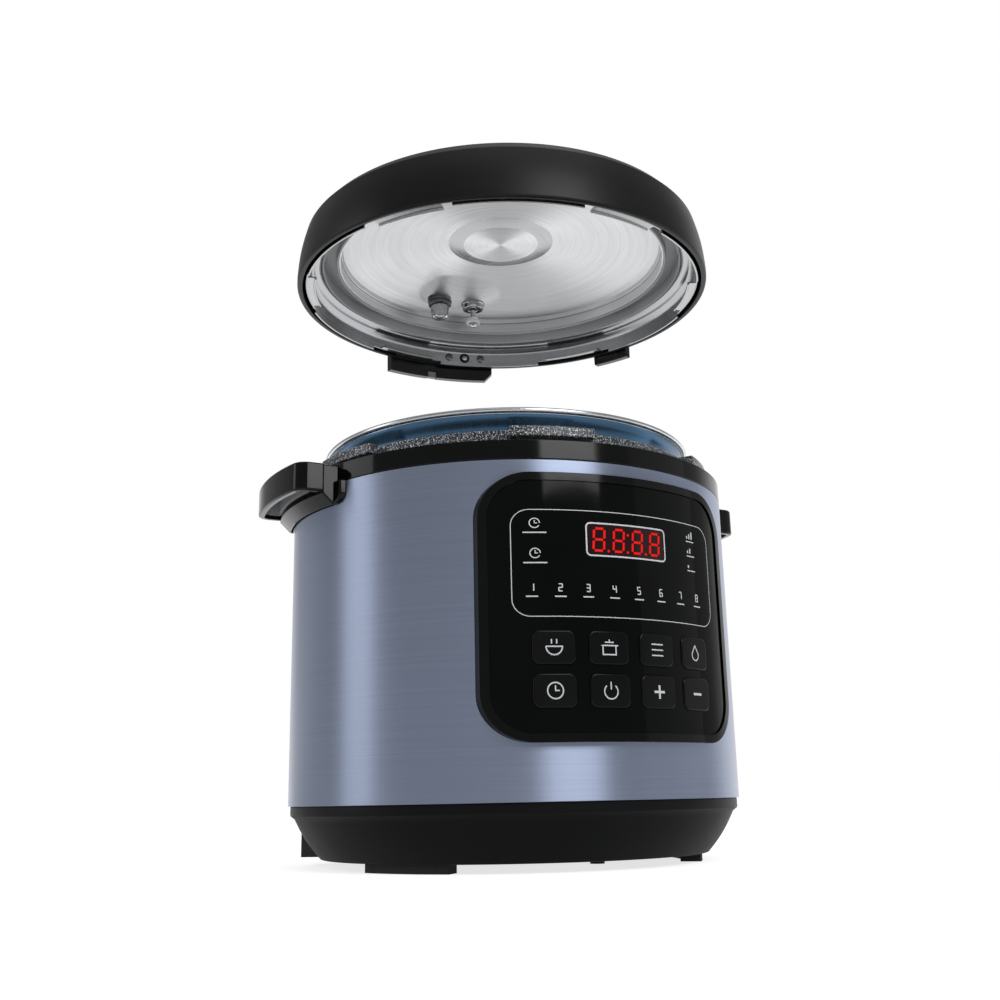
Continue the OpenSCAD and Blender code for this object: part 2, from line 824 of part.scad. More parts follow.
module control_bezel() {
    rim_w = panel_w - 2 * bezel_rim;
    rim_h = panel_h - 2 * bezel_rim;
    tray_gap = 0.4;
    color("#08090a") difference() {
        union() {
            difference() {
                panel_shell(body_r + 0.02, face_r, panel_w, panel_h, panel_corner);
                panel_shell(tray_r, face_r + 5, rim_w, rim_h, panel_corner - bezel_rim);
            }
            panel_shell(tray_in_r, tray_r, panel_w - 2 * opening_margin - tray_gap,
                        panel_h - 2 * opening_margin - tray_gap,
                        panel_corner - opening_margin);
            for (x = [-board_post_x, board_post_x],
                 z = [board_low_z + board_post_in, board_low_z + board_h - board_post_in / 2])
                translate([x, 0, z]) rotate([90, 0, 0]) translate([0, 0, board_y])
                    cylinder(r = board_post_r, h = sqrt(pow(tray_in_r, 2) - x * x) - board_y + 1);
        }
        each_button() at_button($row, $col) button_prism(button_gap);
        window_prism(-1.5);
    }
}

module panel_overlay() {
    fit = 0.15;
    color("#0a0b0d") difference() {
        panel_shell(overlay_in_r, overlay_r, panel_w - 2 * (bezel_rim + fit),
                    panel_h - 2 * (bezel_rim + fit), panel_corner - bezel_rim - fit);
        each_button() at_button($row, $col) button_prism(button_gap);
        window_prism(0.15);
    }
}

module display_window() {
    color("#1a0506") intersection() {
        translate([0, 0, window_mid_z - window_h]) ring(overlay_r, overlay_in_r, 2 * window_h);
        window_prism(0);
    }
}

module display_module() {
    front_y = sqrt(pow(tray_in_r, 2) - pow(window_w / 2, 2)) - 0.3;
    color("#e8e8e4") translate([-window_w / 2 + 1, -front_y, window_mid_z - window_h / 2 - 1])
        cube([window_w - 2, front_y - board_y, window_h + 2]);
}

module control_board() {
    color("#2f6b3f") translate([-board_w / 2, -board_y, board_low_z])
        cube([board_w, board_t, board_h]);
}

module key_switches() {
    color("#c4c7ca") each_button()
        let (x = board_y * tan(button_cols[$col] * button_pitch))
        translate([x - switch_w / 2, -board_y - switch_h,
                   row_z - $row * button_rows_gap - switch_w / 2])
            cube([switch_w, switch_h, switch_w]);
}

// One button with its flange behind the tray and its stem to the switch
module button(row, col) {
    turn = abs(button_cols[col] * button_pitch);
    flange_out = tray_in_r - 0.1;
    stem_end = (board_y + switch_h) / cos(turn) + stem_r * tan(turn) + button_travel + 0.1;
    stem_from = flange_out - button_flange;
    color("#111214") at_button(row, col) {
        intersection() {
            translate([0, 0, -button_h]) ring(overlay_r + button_proud, stem_from, 2 * button_h);
            union() {
                button_prism(0);
                intersection() {
                    translate([0, 0, -button_h]) cylinder(r = flange_out, h = 2 * button_h);
                    button_prism(button_flange_w);
                }
            }
        }
        if (stem_end < stem_from)
            rotate([90, 0, 0]) translate([0, 0, stem_end])
                cylinder(r = stem_r, h = stem_from - stem_end + 0.5);
    }
}

module button_1() { button(0, 0); }
module button_2() { button(0, 1); }
module button_3() { button(0, 2); }
module button_4() { button(0, 3); }
module button_5() { button(1, 0); }
module button_6() { button(1, 1); }
module button_plus() { button(1, 2); }
module button_minus() { button(1, 3); }

// Condensation cup, hung on a T-shaped rail ----------------------------------

cup_top = ring_z - 6;
cup_bottom = cup_top - cup_h;
rail_w = 12;
rail_head_w = 20;
rail_web = 2;
rail_head = 1.4;
cup_in_r = body_r + free;
cup_out_r = body_r + cup_proud;

// Everything between two radii and two upright planes at the back of the body
module back_slab(r_in, r_out, w, z, h) {
    intersection() {
        translate([0, 0, z]) ring(r_out, r_in, h);
        translate([-w / 2, 0, z]) cube([w, 2 * r_out, h]);
    }
}

module cup_rail() {
    web_r = body_r + rail_web;
    color("#16181a") {
        back_slab(body_r + 0.02, web_r + eps, rail_w, cup_bottom + 8, cup_h - 16);
        back_slab(web_r, web_r + rail_head, rail_head_w, cup_bottom + 8, cup_h - 16);
    }
}

module condensation_cup() {
    w = cup_wall;
    web_r = body_r + rail_web;
    sleeve_r = web_r + rail_head + free;
    color("#2b2e31") difference() {
        back_slab(cup_in_r, cup_out_r, cup_w, cup_bottom, cup_h);
        difference() {
            back_slab(cup_in_r + w, cup_out_r - w, cup_w - 2 * w, cup_bottom + w, cup_h);
            back_slab(cup_in_r, sleeve_r + w, rail_head_w + 2 * (free + w), cup_bottom,
                      cup_h + 1);
        }
        back_slab(cup_in_r - 1, sleeve_r, rail_w + 2 * free, cup_bottom - 1,
                  cup_h - 8 + free + 1);
        back_slab(web_r - free, sleeve_r, rail_head_w + 2 * free, cup_bottom - 1,
                  cup_h - 8 + free + 1);
    }
}

// Lid ------------------------------------------------------------------------

module sealing_ring() {
    lip = 1.6;
    color("#d9dbdc") lift_lid() rotate_extrude() difference() {
        translate([seal_in_r, seal_low_h]) square([seal_w, seal_h]);
        translate([seal_in_r + lip, seal_low_h - 1])
            square([seal_w - 2 * lip, seal_groove + 1]);
        translate([seal_in_r - 1, seal_low_h - 1]) square([lip + 2, seal_lip_step + 1]);
    }
}

module seal_rack() {
    low_h = seal_low_h + seal_lip_step + 1.5;
    color("#cdd1d4") lift_lid() translate([0, 0, low_h])
        ring(seal_in_r - snug, seal_in_r - snug - rack_wall, seal_top_h - low_h);
}

module valve_hole(angle, r) {
    on_radius(angle, valve_r) translate([0, 0, disc_edge_h - 20]) cylinder(r = r, h = 60);
}

pipe_r = 5;
guide_r = 4;

pad_angle = (release_angle + float_angle) / 2;
pad_h = disc_h(valve_r + pad_r) - 0.3;

pad_top_h = disc_h(valve_r - pad_r) + lid_wall;

// Upright prism over the outline of the pad that carries the valves
module pad_prism(inset, from, to) {
    r = pad_r - inset;
    on_radius(pad_angle, valve_r) translate([0, 0, from]) linear_extrude(to - from)
        polygon(concat(arc(0, pad_half, r, 0, 180, 12), arc(0, -pad_half, r, 180, 360, 12)));
}

module each_lid_lug() {
    for (i = [0:lug_count - 1]) rotate([0, 0, lid_lug_angle + i * 360 / lug_count]) children();
}

module lid_shell() {
    w = lid_wall;
    wall_r = seal_out_r + snug;
    steps = 10;
    under = concat(
        [[0, disc_h(0) - boss_drop], [boss_flat_r, disc_h(0) - boss_drop]],
        [for (i = [0:steps]) let (r = boss_r + (disc_r - boss_r) * i / steps) [r, disc_h(r)]],
        [[disc_r + 0.4, groove_h], [wall_r, groove_h], [wall_r, ledge_h + 4],
         [wall_r + 3, ledge_h + 1.5], [wall_r + 5, ledge_h + 1.5], [skirt_in_r, ledge_h - 3],
         [skirt_in_r, skirt_low_h]]);
    over = concat(
        [[skirt_r, skirt_low_h], [skirt_r, ledge_h - 2.4], [wall_r + 5.6, ledge_h + 1.5 + w],
         [wall_r + 3.6, ledge_h + 1.5 + w], [wall_r + w, ledge_h + 4.6],
         [wall_r + w, groove_h + w], [disc_r + 0.4 + w, groove_h + w],
         [disc_r + w, disc_edge_h + w * 0.8]],
        [for (i = [steps:-1:0]) let (r = boss_r + (disc_r - boss_r) * i / steps)
            if (r < disc_r - 1) [r, disc_h(r) + w]],
        [[boss_flat_r, disc_h(0) - boss_drop + w], [0, disc_h(0) - boss_drop + w]]);
    color("#c6c9cc") lift_lid() difference() {
        union() {
            difference() {
                rotate_extrude() polygon(concat(under, over));
                pad_prism(w / 2, pad_h - 5, pad_top_h + 5);
            }
            difference() {
                pad_prism(0, pad_h, pad_top_h);
                pad_prism(w, pad_h + w, pad_top_h + 1);
            }
            each_lid_lug() rotate([0, 0, -lid_lug_span / 2]) rotate_extrude(angle = lid_lug_span)
                polygon([[lid_lug_r, lug_shelf_h - w - 1], [lid_lug_r + w, lug_shelf_h - w - 1],
                    [lid_lug_r + w, lug_shelf_h - w], [skirt_in_r + w / 2, lug_shelf_h - w],
                    [skirt_in_r + w / 2, lug_shelf_h], [lid_lug_r, lug_shelf_h]]);
        }
        each_lid_lug() translate([0, 0, skirt_low_h - 1])
            sector(skirt_in_r - 0.5, skirt_r + 1, -lid_lug_span / 2 - 3, lid_lug_span / 2 + 3,
                   lug_shelf_h - w - 0.1 - skirt_low_h + 1);
        valve_hole(release_angle, pipe_r + snug);
        valve_hole(float_angle, guide_r + snug);
        for (a = lid_screw_at) lid_screw_hole(a, 1.7 + snug);
        lid_screw_hole(pin_angle, pin_d / 2 + stem_fit);
    }
}

pin_angle = 75.5;
lid_screw_at = [pin_angle - 5.5, pin_angle + 5.5];
lid_screw_h = 6;

module lid_screw_hole(a, r) {
    on_radius(a, skirt_in_r - 2) translate([0, 0, lid_screw_h]) rotate([0, 90, 0])
        cylinder(r = r, h = 9);
}

bracket_notch_h = 12.4;
post_at = [45, 135, 225, 315];

cover_top_r = cover_r - cover_taper;
cover_shoulder = 5;
cover_steps = 10;
cover_crown = [for (i = [0:cover_steps])
    let (r = (cover_top_r - cover_shoulder) * i / cover_steps) [r, crown_h(r)]];
cover_side = concat([[cover_r - 0.8, 0], [cover_r, 0.8]],
    bow([cover_r, 5], [cover_top_r + 0.6, cover_band_h - cover_shoulder], 1, 6));

module lid_cover() {
    w = cover_wall;
    top_r = cover_top_r;
    shoulder = cover_shoulder;
    inner_top_r = top_r - w;
    crown = cover_crown;
    outer = concat(cover_side, [for (i = [cover_steps:-1:0]) crown[i]]);
    inner = concat([for (p = crown) [p[0] * (inner_top_r - shoulder) / (top_r - shoulder), p[1] - w]],
        [[inner_top_r - 0.6, cover_band_h - shoulder - w],
         [lip_in_r, 9], [lip_in_r, 0]]);
    color("#1b1c1e") lift_lid() difference() {
        union() {
            rotate_extrude() polygon(concat(outer, inner));
            for (a = post_at)
                on_radius(a, 60) translate([0, 0, disc_h(56) + lid_wall + snug])
                    cylinder(r = 4, h = crown_h(60) - w - disc_h(56) + 1);
        }
        valve_hole(release_angle, pipe_r + snug);
        valve_hole(float_angle, guide_r + snug);
        translate([0, 0, -1]) sector(skirt_r - 2, cover_r + 5, rear_from - 0.4, rear_to + 0.4,
                                     bracket_notch_h + 1);
        for (x = [-1, 1]) translate([x * grip_post_x, 0, 0])
            translate([0, 0, crown_top_h - 12]) cylinder(r = 2.1, h = 20);
    }
}

grip_post_x = grip_len / 2 - 9;
grip_foot_h = crown_h(grip_len / 2 + 2) + 0.05;

module lid_grip() {
    h = crown_top_h - grip_foot_h + grip_gap + grip_t;
    gap_w = grip_len - 36;
    color("#0e0f10") lift_lid() difference() {
        translate([0, grip_w / 2, grip_foot_h]) rotate([90, 0, 0]) linear_extrude(grip_w)
            difference() {
                polygon(concat([[-grip_len / 2, 0]],
                    [for (p = arc(-grip_len / 2 + 16, h - 16, 16, 180, 90, 8)) p],
                    [for (p = arc(grip_len / 2 - 16, h - 16, 16, 90, 0, 8)) p],
                    [[grip_len / 2, 0]]));
                translate([-gap_w / 2, -1]) square([gap_w, h - grip_t - 8]);
                translate([-gap_w / 2 + 8, 0]) square([gap_w - 16, h - grip_t]);
                for (x = [-1, 1]) translate([x * (gap_w / 2 - 8), h - grip_t - 9]) circle(r = 8);
            }
        cover_space(1);
        for (x = [-1, 1]) translate([x * grip_post_x, 0, grip_foot_h - 1])
            cylinder(r = screw_shank_r + snug, h = screw_len + 2);
    }
}

// The space that the cover takes, so that what lies against it follows its curve
module cover_space(below) {
    rotate_extrude() polygon(concat([[0, -below], [cover_r + 0.02, -below]],
        [for (p = cover_side) p + [0.02, 0]],
        [for (i = [cover_steps:-1:0]) cover_crown[i] + [0, 0.02]]));
}

module grip_screws() {
    color("#8d9196") lift_lid() for (x = [-1, 1])
        translate([x * grip_post_x, 0, crown_h(grip_post_x + 6) - cover_wall - screw_head_h])
            screw(screw_head_r, screw_head_h, screw_shank_r, cover_wall + screw_len - 2);
}

clip_angle = 86;
clip_half = 1.5;
clip_h = 6;
rear_top_h = 21;
rear_seat_h = 0.6;
tab_top_h = 14;

module lid_rear_bracket() {
    out_r = cover_r + rear_wall;
    chamfer = 4;
    color("#121314") lift_lid() difference() {
        union() {
            difference() {
                translate([0, 0, -rear_drop])
                    sector(cover_r - cover_taper, out_r, rear_from, rear_to,
                           rear_drop + rear_top_h);
                cover_space(rear_drop + 1);
            }
            translate([0, 0, rear_seat_h])
                sector(skirt_r + snug, cover_r + 1, rear_from + 0.5, rear_to - 0.5,
                       bracket_notch_h - rear_seat_h - snug);
        }
        for (a = lid_screw_at) lid_screw_hole(a, 1.5 + snug);
        lid_screw_hole(pin_angle, pin_d / 2 + stem_fit);
        on_radius(rear_from, cover_r - 2) translate([0, 0, -rear_drop]) rotate([45, 0, 0])
            translate([0, -30, -30]) cube([20, 30 + chamfer, 60]);
        translate([0, 0, -rear_drop - 1])
            sector(cover_r - 1, out_r + 1, clip_angle - clip_half, clip_angle + clip_half, clip_h);
    }
}

module lid_tab() {
    color("#121314") lift_lid() difference() {
        translate([0, 0, -tab_drop])
            sector(cover_r - cover_taper, cover_r + rear_wall, tab_from, tab_to,
                   tab_drop + tab_top_h);
        cover_space(tab_drop + 1);
    }
}

module lid_screws() {
    color("#9da1a5") lift_lid() for (a = lid_screw_at)
        on_radius(a, skirt_in_r - 1.6) translate([0, 0, lid_screw_h]) rotate([0, 90, 0])
            screw(2.6, 1.5, 1.5, lid_wall + 4);
}

module lock_pin() {
    color("#c9ccd0") lift_lid() on_radius(pin_angle, skirt_in_r - 1.5)
        translate([0, 0, lid_screw_h]) rotate([0, 90, 0]) cylinder(r = pin_d / 2, h = 7);
}

// Valves ---------------------------------------------------------------------

filter_low_h = pad_h - valve_drop;
nut_h = 4;
nut_low_h = pad_h - nut_h - 1.7;

module exhaust_pipe() {
    top_h = crown_h(valve_r) + 9;
    color("#b8bcc0") lift_lid() on_radius(release_angle, valve_r) difference() {
        translate([0, 0, nut_low_h - 5]) cylinder(r = pipe_r, h = top_h - nut_low_h + 5);
        translate([0, 0, nut_low_h - 6]) cylinder(r = 2, h = top_h - nut_low_h + 8);
    }
}

module exhaust_nut() {
    color("#8b8f93") lift_lid() on_radius(release_angle, valve_r)
        translate([0, 0, nut_low_h]) difference() {
            union() {
                cylinder(r = 9, h = nut_h);
                translate([0, 0, nut_h - eps]) cylinder(r = 7.5, h = 1.6);
            }
            translate([0, 0, -1]) cylinder(r = pipe_r + stem_fit, h = nut_h + 4);
        }
}

module exhaust_filter() {
    h = nut_low_h - filter_low_h - 0.3;
    color("#a9adb1") lift_lid() on_radius(release_angle, valve_r)
        translate([0, 0, filter_low_h]) difference() {
            cylinder(r = 7.2, h = h, $fn = 12);
            translate([0, 0, h - 5]) cylinder(r = pipe_r + stem_fit, h = 6);
            translate([0, 0, -1]) cylinder(r = 3, h = h);
            for (a = [45, 135]) rotate([0, 0, a]) translate([-8, -0.4, -1]) cube([16, 0.8, 2]);
        }
}

module release_knob() {
    low = crown_h(valve_r - knob_r) + 1;
    color("#1c1d1f") lift_lid() on_radius(release_angle, valve_r) difference() {
        union() {
            translate([0, 0, low]) cylinder(r = knob_r - 3, h = 3.01);
            translate([0, 0, low + 3]) cylinder(r = knob_r, h = 10);
            translate([0, 0, low + 12.9])
                intersection() {
                    cylinder(r = knob_r - 1.5, h = 7);
                    translate([-knob_r, -4, 0]) cube([2 * knob_r, 8, 7]);
                }
        }
        translate([0, 0, low - 1])
            cylinder(r = pipe_r + stem_fit, h = crown_h(valve_r) + 9 - low + 1.5);
    }
}

float_stem_r = 2;

module float_guide() {
    low = pad_h - 4.7;
    color("#b4b8bc") lift_lid() on_radius(float_angle, valve_r) difference() {
        union() {
            translate([0, 0, low]) cylinder(r = 9, h = 4.6);
            translate([0, 0, low + 4.5])
                cylinder(r = guide_r, h = crown_h(valve_r) + 1.5 - low - 4.5);
        }
        translate([0, 0, low - 1]) cylinder(r = 6.2, h = 3);
        translate([0, 0, low - 1]) cylinder(r = float_stem_r + stem_fit, h = 40);
    }
}

cap_h = 4.5;
cap_low_h = pad_h - valve_drop - 1;

module float_pin() {
    color("#c6392e") lift_lid() on_radius(float_angle, valve_r) {
        translate([0, 0, cap_low_h - 1])
            cylinder(r = float_stem_r, h = crown_h(valve_r) + 2 - cap_low_h);
        translate([0, 0, cap_low_h - 2.5]) cylinder(r = 3.2, h = 2);
    }
}

module float_cap() {
    color("#f0f0ee") lift_lid() on_radius(float_angle, valve_r)
        translate([0, 0, cap_low_h - 0.45]) ring(5.6, float_stem_r + stem_fit, cap_h);
}

base_pan();
feet();
power_inlet();
inlet_pins();
pan_screws();
chassis_posts();
housing_band();
top_ring();
left_handle();
right_handle();
left_handle_liner();
right_handle_liner();
outer_pot();
heat_shield();
heating_plate();
heater_terminals();
sensor_bracket();
pressure_switch();
thermal_fuse();
power_board();
power_parts();
control_bezel();
panel_overlay();
display_window();
display_module();
control_board();
key_switches();
cup_rail();
condensation_cup();
inner_pot();
thermal_sensor();
sensor_spring();
button_1();
button_2();
button_3();
button_4();
button_5();
button_6();
button_plus();
button_minus();
sealing_ring();
seal_rack();
lid_shell();
lid_cover();
lid_grip();
grip_screws();
lid_rear_bracket();
lid_tab();
lid_screws();
lock_pin();
exhaust_pipe();
exhaust_nut();
exhaust_filter();
release_knob();
float_guide();
float_pin();
float_cap();
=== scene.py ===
from math import asin, atan2, cos, degrees, hypot, pi, radians, sin, sqrt

import bmesh
import bpy
from mathutils import Matrix, Vector


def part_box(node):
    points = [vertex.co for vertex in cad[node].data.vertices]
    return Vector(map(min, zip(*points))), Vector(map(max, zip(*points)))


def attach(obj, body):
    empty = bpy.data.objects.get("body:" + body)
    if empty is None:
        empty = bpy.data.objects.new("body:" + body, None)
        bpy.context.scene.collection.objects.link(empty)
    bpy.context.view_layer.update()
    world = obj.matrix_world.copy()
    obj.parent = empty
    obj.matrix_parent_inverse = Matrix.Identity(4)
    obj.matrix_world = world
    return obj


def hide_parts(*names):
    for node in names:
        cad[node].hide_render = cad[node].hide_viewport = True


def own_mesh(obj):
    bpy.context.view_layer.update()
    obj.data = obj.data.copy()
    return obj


# An electric pressure cooker with its lid lifted off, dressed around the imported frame.
# Sizes are millimetres until a piece is finished, and angles are degrees from +X seen from above.
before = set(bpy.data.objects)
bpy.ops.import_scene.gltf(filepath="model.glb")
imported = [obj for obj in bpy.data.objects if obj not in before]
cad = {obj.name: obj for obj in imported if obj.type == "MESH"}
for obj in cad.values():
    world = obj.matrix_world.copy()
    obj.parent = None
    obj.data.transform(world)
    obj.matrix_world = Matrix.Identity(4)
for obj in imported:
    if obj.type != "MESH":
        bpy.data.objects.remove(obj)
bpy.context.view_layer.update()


# ---- Studio ----
# A white sweep: pale floor and a white sky, both dimmer in reflections on the camera's side.
# Long soft lamps stand in front and at the left, and a wide one hangs above.
def linear(code):
    """Turns an sRGB hex colour into the linear RGBA that shaders take."""
    parts = [int(code[i : i + 2], 16) / 255 for i in (1, 3, 5)]
    return [c / 12.92 if c <= 0.04045 else ((c + 0.055) / 1.055) ** 2.4 for c in parts] + [1.0]


def add(tree, kind, inputs=None, **settings):
    """Adds one shader node with its settings, values and links, and gives the node back."""
    node = tree.nodes.new("ShaderNode" + kind)
    for key, value in settings.items():
        setattr(node, key, value)
    for name, value in (inputs or {}).items():
        if isinstance(value, bpy.types.NodeSocket):
            tree.links.new(value, node.inputs[name])
        else:
            node.inputs[name].default_value = value
    return node


dim_card, back_angle = 0.33, 50
back_way = (cos(radians(back_angle)), sin(radians(back_angle)), 0)


def strength(tree, mirror_ray, way, start, end, light, white):
    """A backdrop's strength: a plain light, white for the camera, and for mirrors dim towards the camera
    and white behind the cooker, with a soft step between."""
    behind = add(tree, "VectorMath", {0: way, 1: back_way}, operation="DOT_PRODUCT")
    level = add(tree, "MapRange", {"Value": behind.outputs["Value"], "From Min": start,
                                   "From Max": end, "To Min": dim_card, "To Max": 1.0},
                interpolation_type="SMOOTHSTEP")
    lit = add(tree, "Mix", {"Factor": mirror_ray, "A": light, "B": level.outputs["Result"]}).outputs[0]
    camera_ray = add(tree, "LightPath").outputs["Is Camera Ray"]
    return add(tree, "Mix", {"Factor": camera_ray, "A": lit, "B": white}).outputs[0]


def linked(bm, name):
    """Turns a bmesh into an object at the origin."""
    mesh = bpy.data.meshes.new(name)
    bm.to_mesh(mesh)
    bm.free()
    thing = bpy.data.objects.new(name, mesh)
    scene.collection.objects.link(thing)
    return thing


scene = bpy.context.scene
scene.view_settings.view_transform = "Standard"
sky_light, sky_white, floor_light, floor_white, floor_grey = 0.6, 1.0, 0.2, 0.75, 0.5
world = bpy.data.worlds.new("studio_sky")
world.use_nodes = True
scene.world = world
sky = world.node_tree
sky_way = add(sky, "TexCoord").outputs["Generated"]
sky_ray = add(sky, "LightPath").outputs
mirror_ray = add(sky, "Math", {0: sky_ray["Is Glossy Ray"], 1: sky_ray["Is Transmission Ray"]},
                 operation="MAXIMUM")
sky_seen = strength(sky, mirror_ray.outputs[0], sky_way, 0.6, 0.88, sky_light, sky_white)
sky.nodes["Background"].inputs["Color"].default_value = (1, 1, 1, 1)
sky.links.new(sky_seen, sky.nodes["Background"].inputs["Strength"])


def lamp(name, place, target, size, power):
    """A soft box at a place, turned to its target."""
    light = bpy.data.lights.new(name, "AREA")
    light.shape = "RECTANGLE"
    light.size, light.size_y = size
    light.energy = power
    box = bpy.data.objects.new(name, light)
    box.location = place
    box.rotation_euler = (Vector(target) - Vector(place)).to_track_quat("-Z", "Y").to_euler()
    scene.collection.objects.link(box)


lamp("front_box", (0.1, -1.75, 1.19), (0, 0, 0.25), (1.0, 1.1), 19)
lamp("left_box", (-1.6, 0.52, 0.6), (0, 0, 0.2), (0.6, 1.3), 4.2)
lamp("right_box", (1.3, -0.9, 0.35), (0, 0, 0.2), (1.1, 0.7), 0.5)
lamp("top_box", (0, -0.2, 1.8), (0, 0, 0.2), (1.4, 1.4), 5)

floor_bm = bmesh.new()
bmesh.ops.create_grid(floor_bm, x_segments=1, y_segments=1, size=12)
floor = linked(floor_bm, "studio_floor")
floor_paint = bpy.data.materials.new("white_sweep")
floor_paint.use_nodes = True
sweep = floor_paint.node_tree
sweep.nodes.remove(sweep.nodes["Principled BSDF"])
sweep_place = add(sweep, "TexCoord").outputs["Object"]
sweep_ray = add(sweep, "LightPath").outputs["Is Glossy Ray"]
sweep_seen = strength(sweep, sweep_ray, sweep_place, 0.0, 0.4, floor_light, floor_white)
glow = add(sweep, "Emission", {"Color": (1, 1, 1, 1), "Strength": sweep_seen})
matt = add(sweep, "BsdfDiffuse", {"Color": (floor_grey, floor_grey, floor_grey, 1)})
both = add(sweep, "AddShader", {0: glow.outputs[0], 1: matt.outputs[0]})
sweep.links.new(both.outputs[0], sweep.nodes["Material Output"].inputs["Surface"])
floor.data.materials.append(floor_paint)

# The camera stands low in front of the cooker, to the left of its panel, and looks up at the lid.
camera_distance, camera_height, camera_side = 749.8, 37.7, -118.0
heading, pitch, roll = -27.67, 14.39, -1.21
focal_px, frame_px, sensor = 1166.6, 1000, 36
lens = bpy.data.cameras.new("camera")
lens.sensor_width = sensor
lens.lens = focal_px / frame_px * sensor
camera = bpy.data.objects.new("camera", lens)
camera.matrix_world = (
    Matrix.Translation((camera_distance * cos(radians(camera_side)) / 1000,
                        camera_distance * sin(radians(camera_side)) / 1000, camera_height / 1000))
    @ Matrix.Rotation(radians(heading), 4, "Z")
    @ Matrix.Rotation(radians(90 + pitch), 4, "X")
    @ Matrix.Rotation(radians(roll), 4, "Z")
)
scene.collection.objects.link(camera)
scene.camera = camera


# ---- Foot pads ----
# Three arcs of black rubber, moulded, pressed into the pan's underside.
# A matt face with a fine grain that dulls the light.
def new_material(name, **inputs):
    """A Principled material with its own settings, its nodes, and the coordinates for its pattern."""
    material = bpy.data.materials.new(name)
    material.use_nodes = True
    tree = material.node_tree
    for key, value in inputs.items():
        tree.nodes["Principled BSDF"].inputs[key.replace("_", " ")].default_value = value
    return material, tree, add(tree, "TexCoord").outputs["Object"]


def tint(tree, value, stops, socket="Base Color", steps="LINEAR"):
    """Colours a surface by a pattern's value, through stops of place and sRGB colour."""
    ramp = add(tree, "ValToRGB", {"Fac": value})
    ramp.color_ramp.interpolation = steps
    for i, (place, code) in enumerate(stops):
        stop = ramp.color_ramp.elements[i] if i < 2 else ramp.color_ramp.elements.new(place)
        stop.position = place
        stop.color = linear(code)
    tree.links.new(ramp.outputs["Color"], tree.nodes["Principled BSDF"].inputs[socket])


def surface(tree, tone, stops, rough, height, depth, ridge):
    """Gives a surface its colours and its gloss by one pattern, and its relief by another."""
    shader = tree.nodes["Principled BSDF"]
    tint(tree, tone, stops)
    gloss = add(tree, "MapRange", {"Value": tone, "From Min": 0.3, "From Max": 0.7,
                                   "To Min": rough[0], "To Max": rough[1]})
    tree.links.new(gloss.outputs["Result"], shader.inputs["Roughness"])
    bump = add(tree, "Bump", {"Height": height, "Strength": depth, "Distance": ridge})
    tree.links.new(bump.outputs["Normal"], shader.inputs["Normal"])


def grained(name, size, depth, tones, rough, shine=0.5, **inputs):
    """A material with moulded or cast grain of one size in millimetres, and slow tone and gloss changes."""
    material, tree, place = new_material(name, Specular_IOR_Level=shine, **inputs)
    speck = add(tree, "TexNoise", {"Vector": place, "Scale": 1000 / size, "Detail": 3.0,
                                   "Roughness": 0.55}).outputs["Fac"]
    cloud = add(tree, "TexNoise", {"Vector": place, "Scale": 18.0, "Detail": 2.0}).outputs["Fac"]
    surface(tree, cloud, ((0.35, tones[0]), (0.65, tones[1])), rough, speck, depth, size / 4000)
    return material


def dress(material, *names):
    """Puts a finish on CAD nodes that keep their own shape."""
    for name in names:
        slots = cad[name].data.materials
        slots.clear()
        slots.append(material)


dress(grained("moulded_rubber", 0.8, 0.3, ("#111213", "#1a1b1c"), (0.7, 0.82)), "feet")


# ---- Base pan ----
# A dish of black polypropylene, injection moulded, with a lip that carries the steel band.
# Its satin face shows a soft sheen along the cone; cooling slots radiate through its floor.
def corners(node):
    """A node's lowest and highest corners in millimetres."""
    low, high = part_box(node)
    return low * 1000, high * 1000


def moved(bm, place):
    """Moves a bmesh to a place, or scales it."""
    bmesh.ops.transform(bm, matrix=place, verts=bm.verts)
    return bm


def levels(node):
    """A node's lowest and highest level in millimetres."""
    low, high = corners(node)
    return low.z, high.z


def bow(start, end, bulge, steps):
    """Points along a shallow arc from start to end, bulging to the right of the way."""
    a, b = Vector(start), Vector(end)
    side = Vector(((b - a).y, -(b - a).x)) / (b - a).length
    return [a.lerp(b, i / steps) + side * bulge * sin(pi * i / steps) for i in range(steps + 1)]


def profile(bm, outline):
    """Adds an outline of (radius, height) points, closed unless it starts on the axis, and gives it back."""
    closed = outline[0][0] > 0
    ring = [bm.verts.new((r, 0, z)) for r, z in outline]
    return ring + [bm.edges.new(pair) for pair in zip(ring, ring[1:] + ring[:1] * closed)]


def faced_out(bm):
    """Turns every face of a bmesh outward."""
    bmesh.ops.recalc_face_normals(bm, faces=bm.faces)
    return bm


def spun(outline, steps=192):
    """Spins an outline of (radius, height) points all the way round the pot's axis."""
    bm = bmesh.new()
    bmesh.ops.spin(bm, geom=profile(bm, outline), cent=(0, 0, 0), axis=(0, 0, 1), angle=2 * pi,
                   steps=steps, use_merge=True)
    bmesh.ops.remove_doubles(bm, verts=bm.verts, dist=1e-3)
    return faced_out(bm)


def bevelled(bm, edges, width, segments):
    """Rounds some edges."""
    bmesh.ops.bevel(bm, geom=edges, offset=width, segments=segments, profile=0.5, affect="EDGES",
                    material=-1, clamp_overlap=True)


def soften(bm, width, segments=3, angle=30):
    """Rounds every edge that is sharper than an angle."""
    sharp = [e for e in bm.edges if e.is_manifold and e.calc_face_angle() > radians(angle)]
    bevelled(bm, sharp, width, segments)
    return bm


to_metres = Matrix.Scale(0.001, 4)


def even_normals(piece):
    """Keeps broad faces flat in the light beside their rounded edges."""
    level = piece.modifiers.new("even_normals", "WEIGHTED_NORMAL")
    level.keep_sharp = True


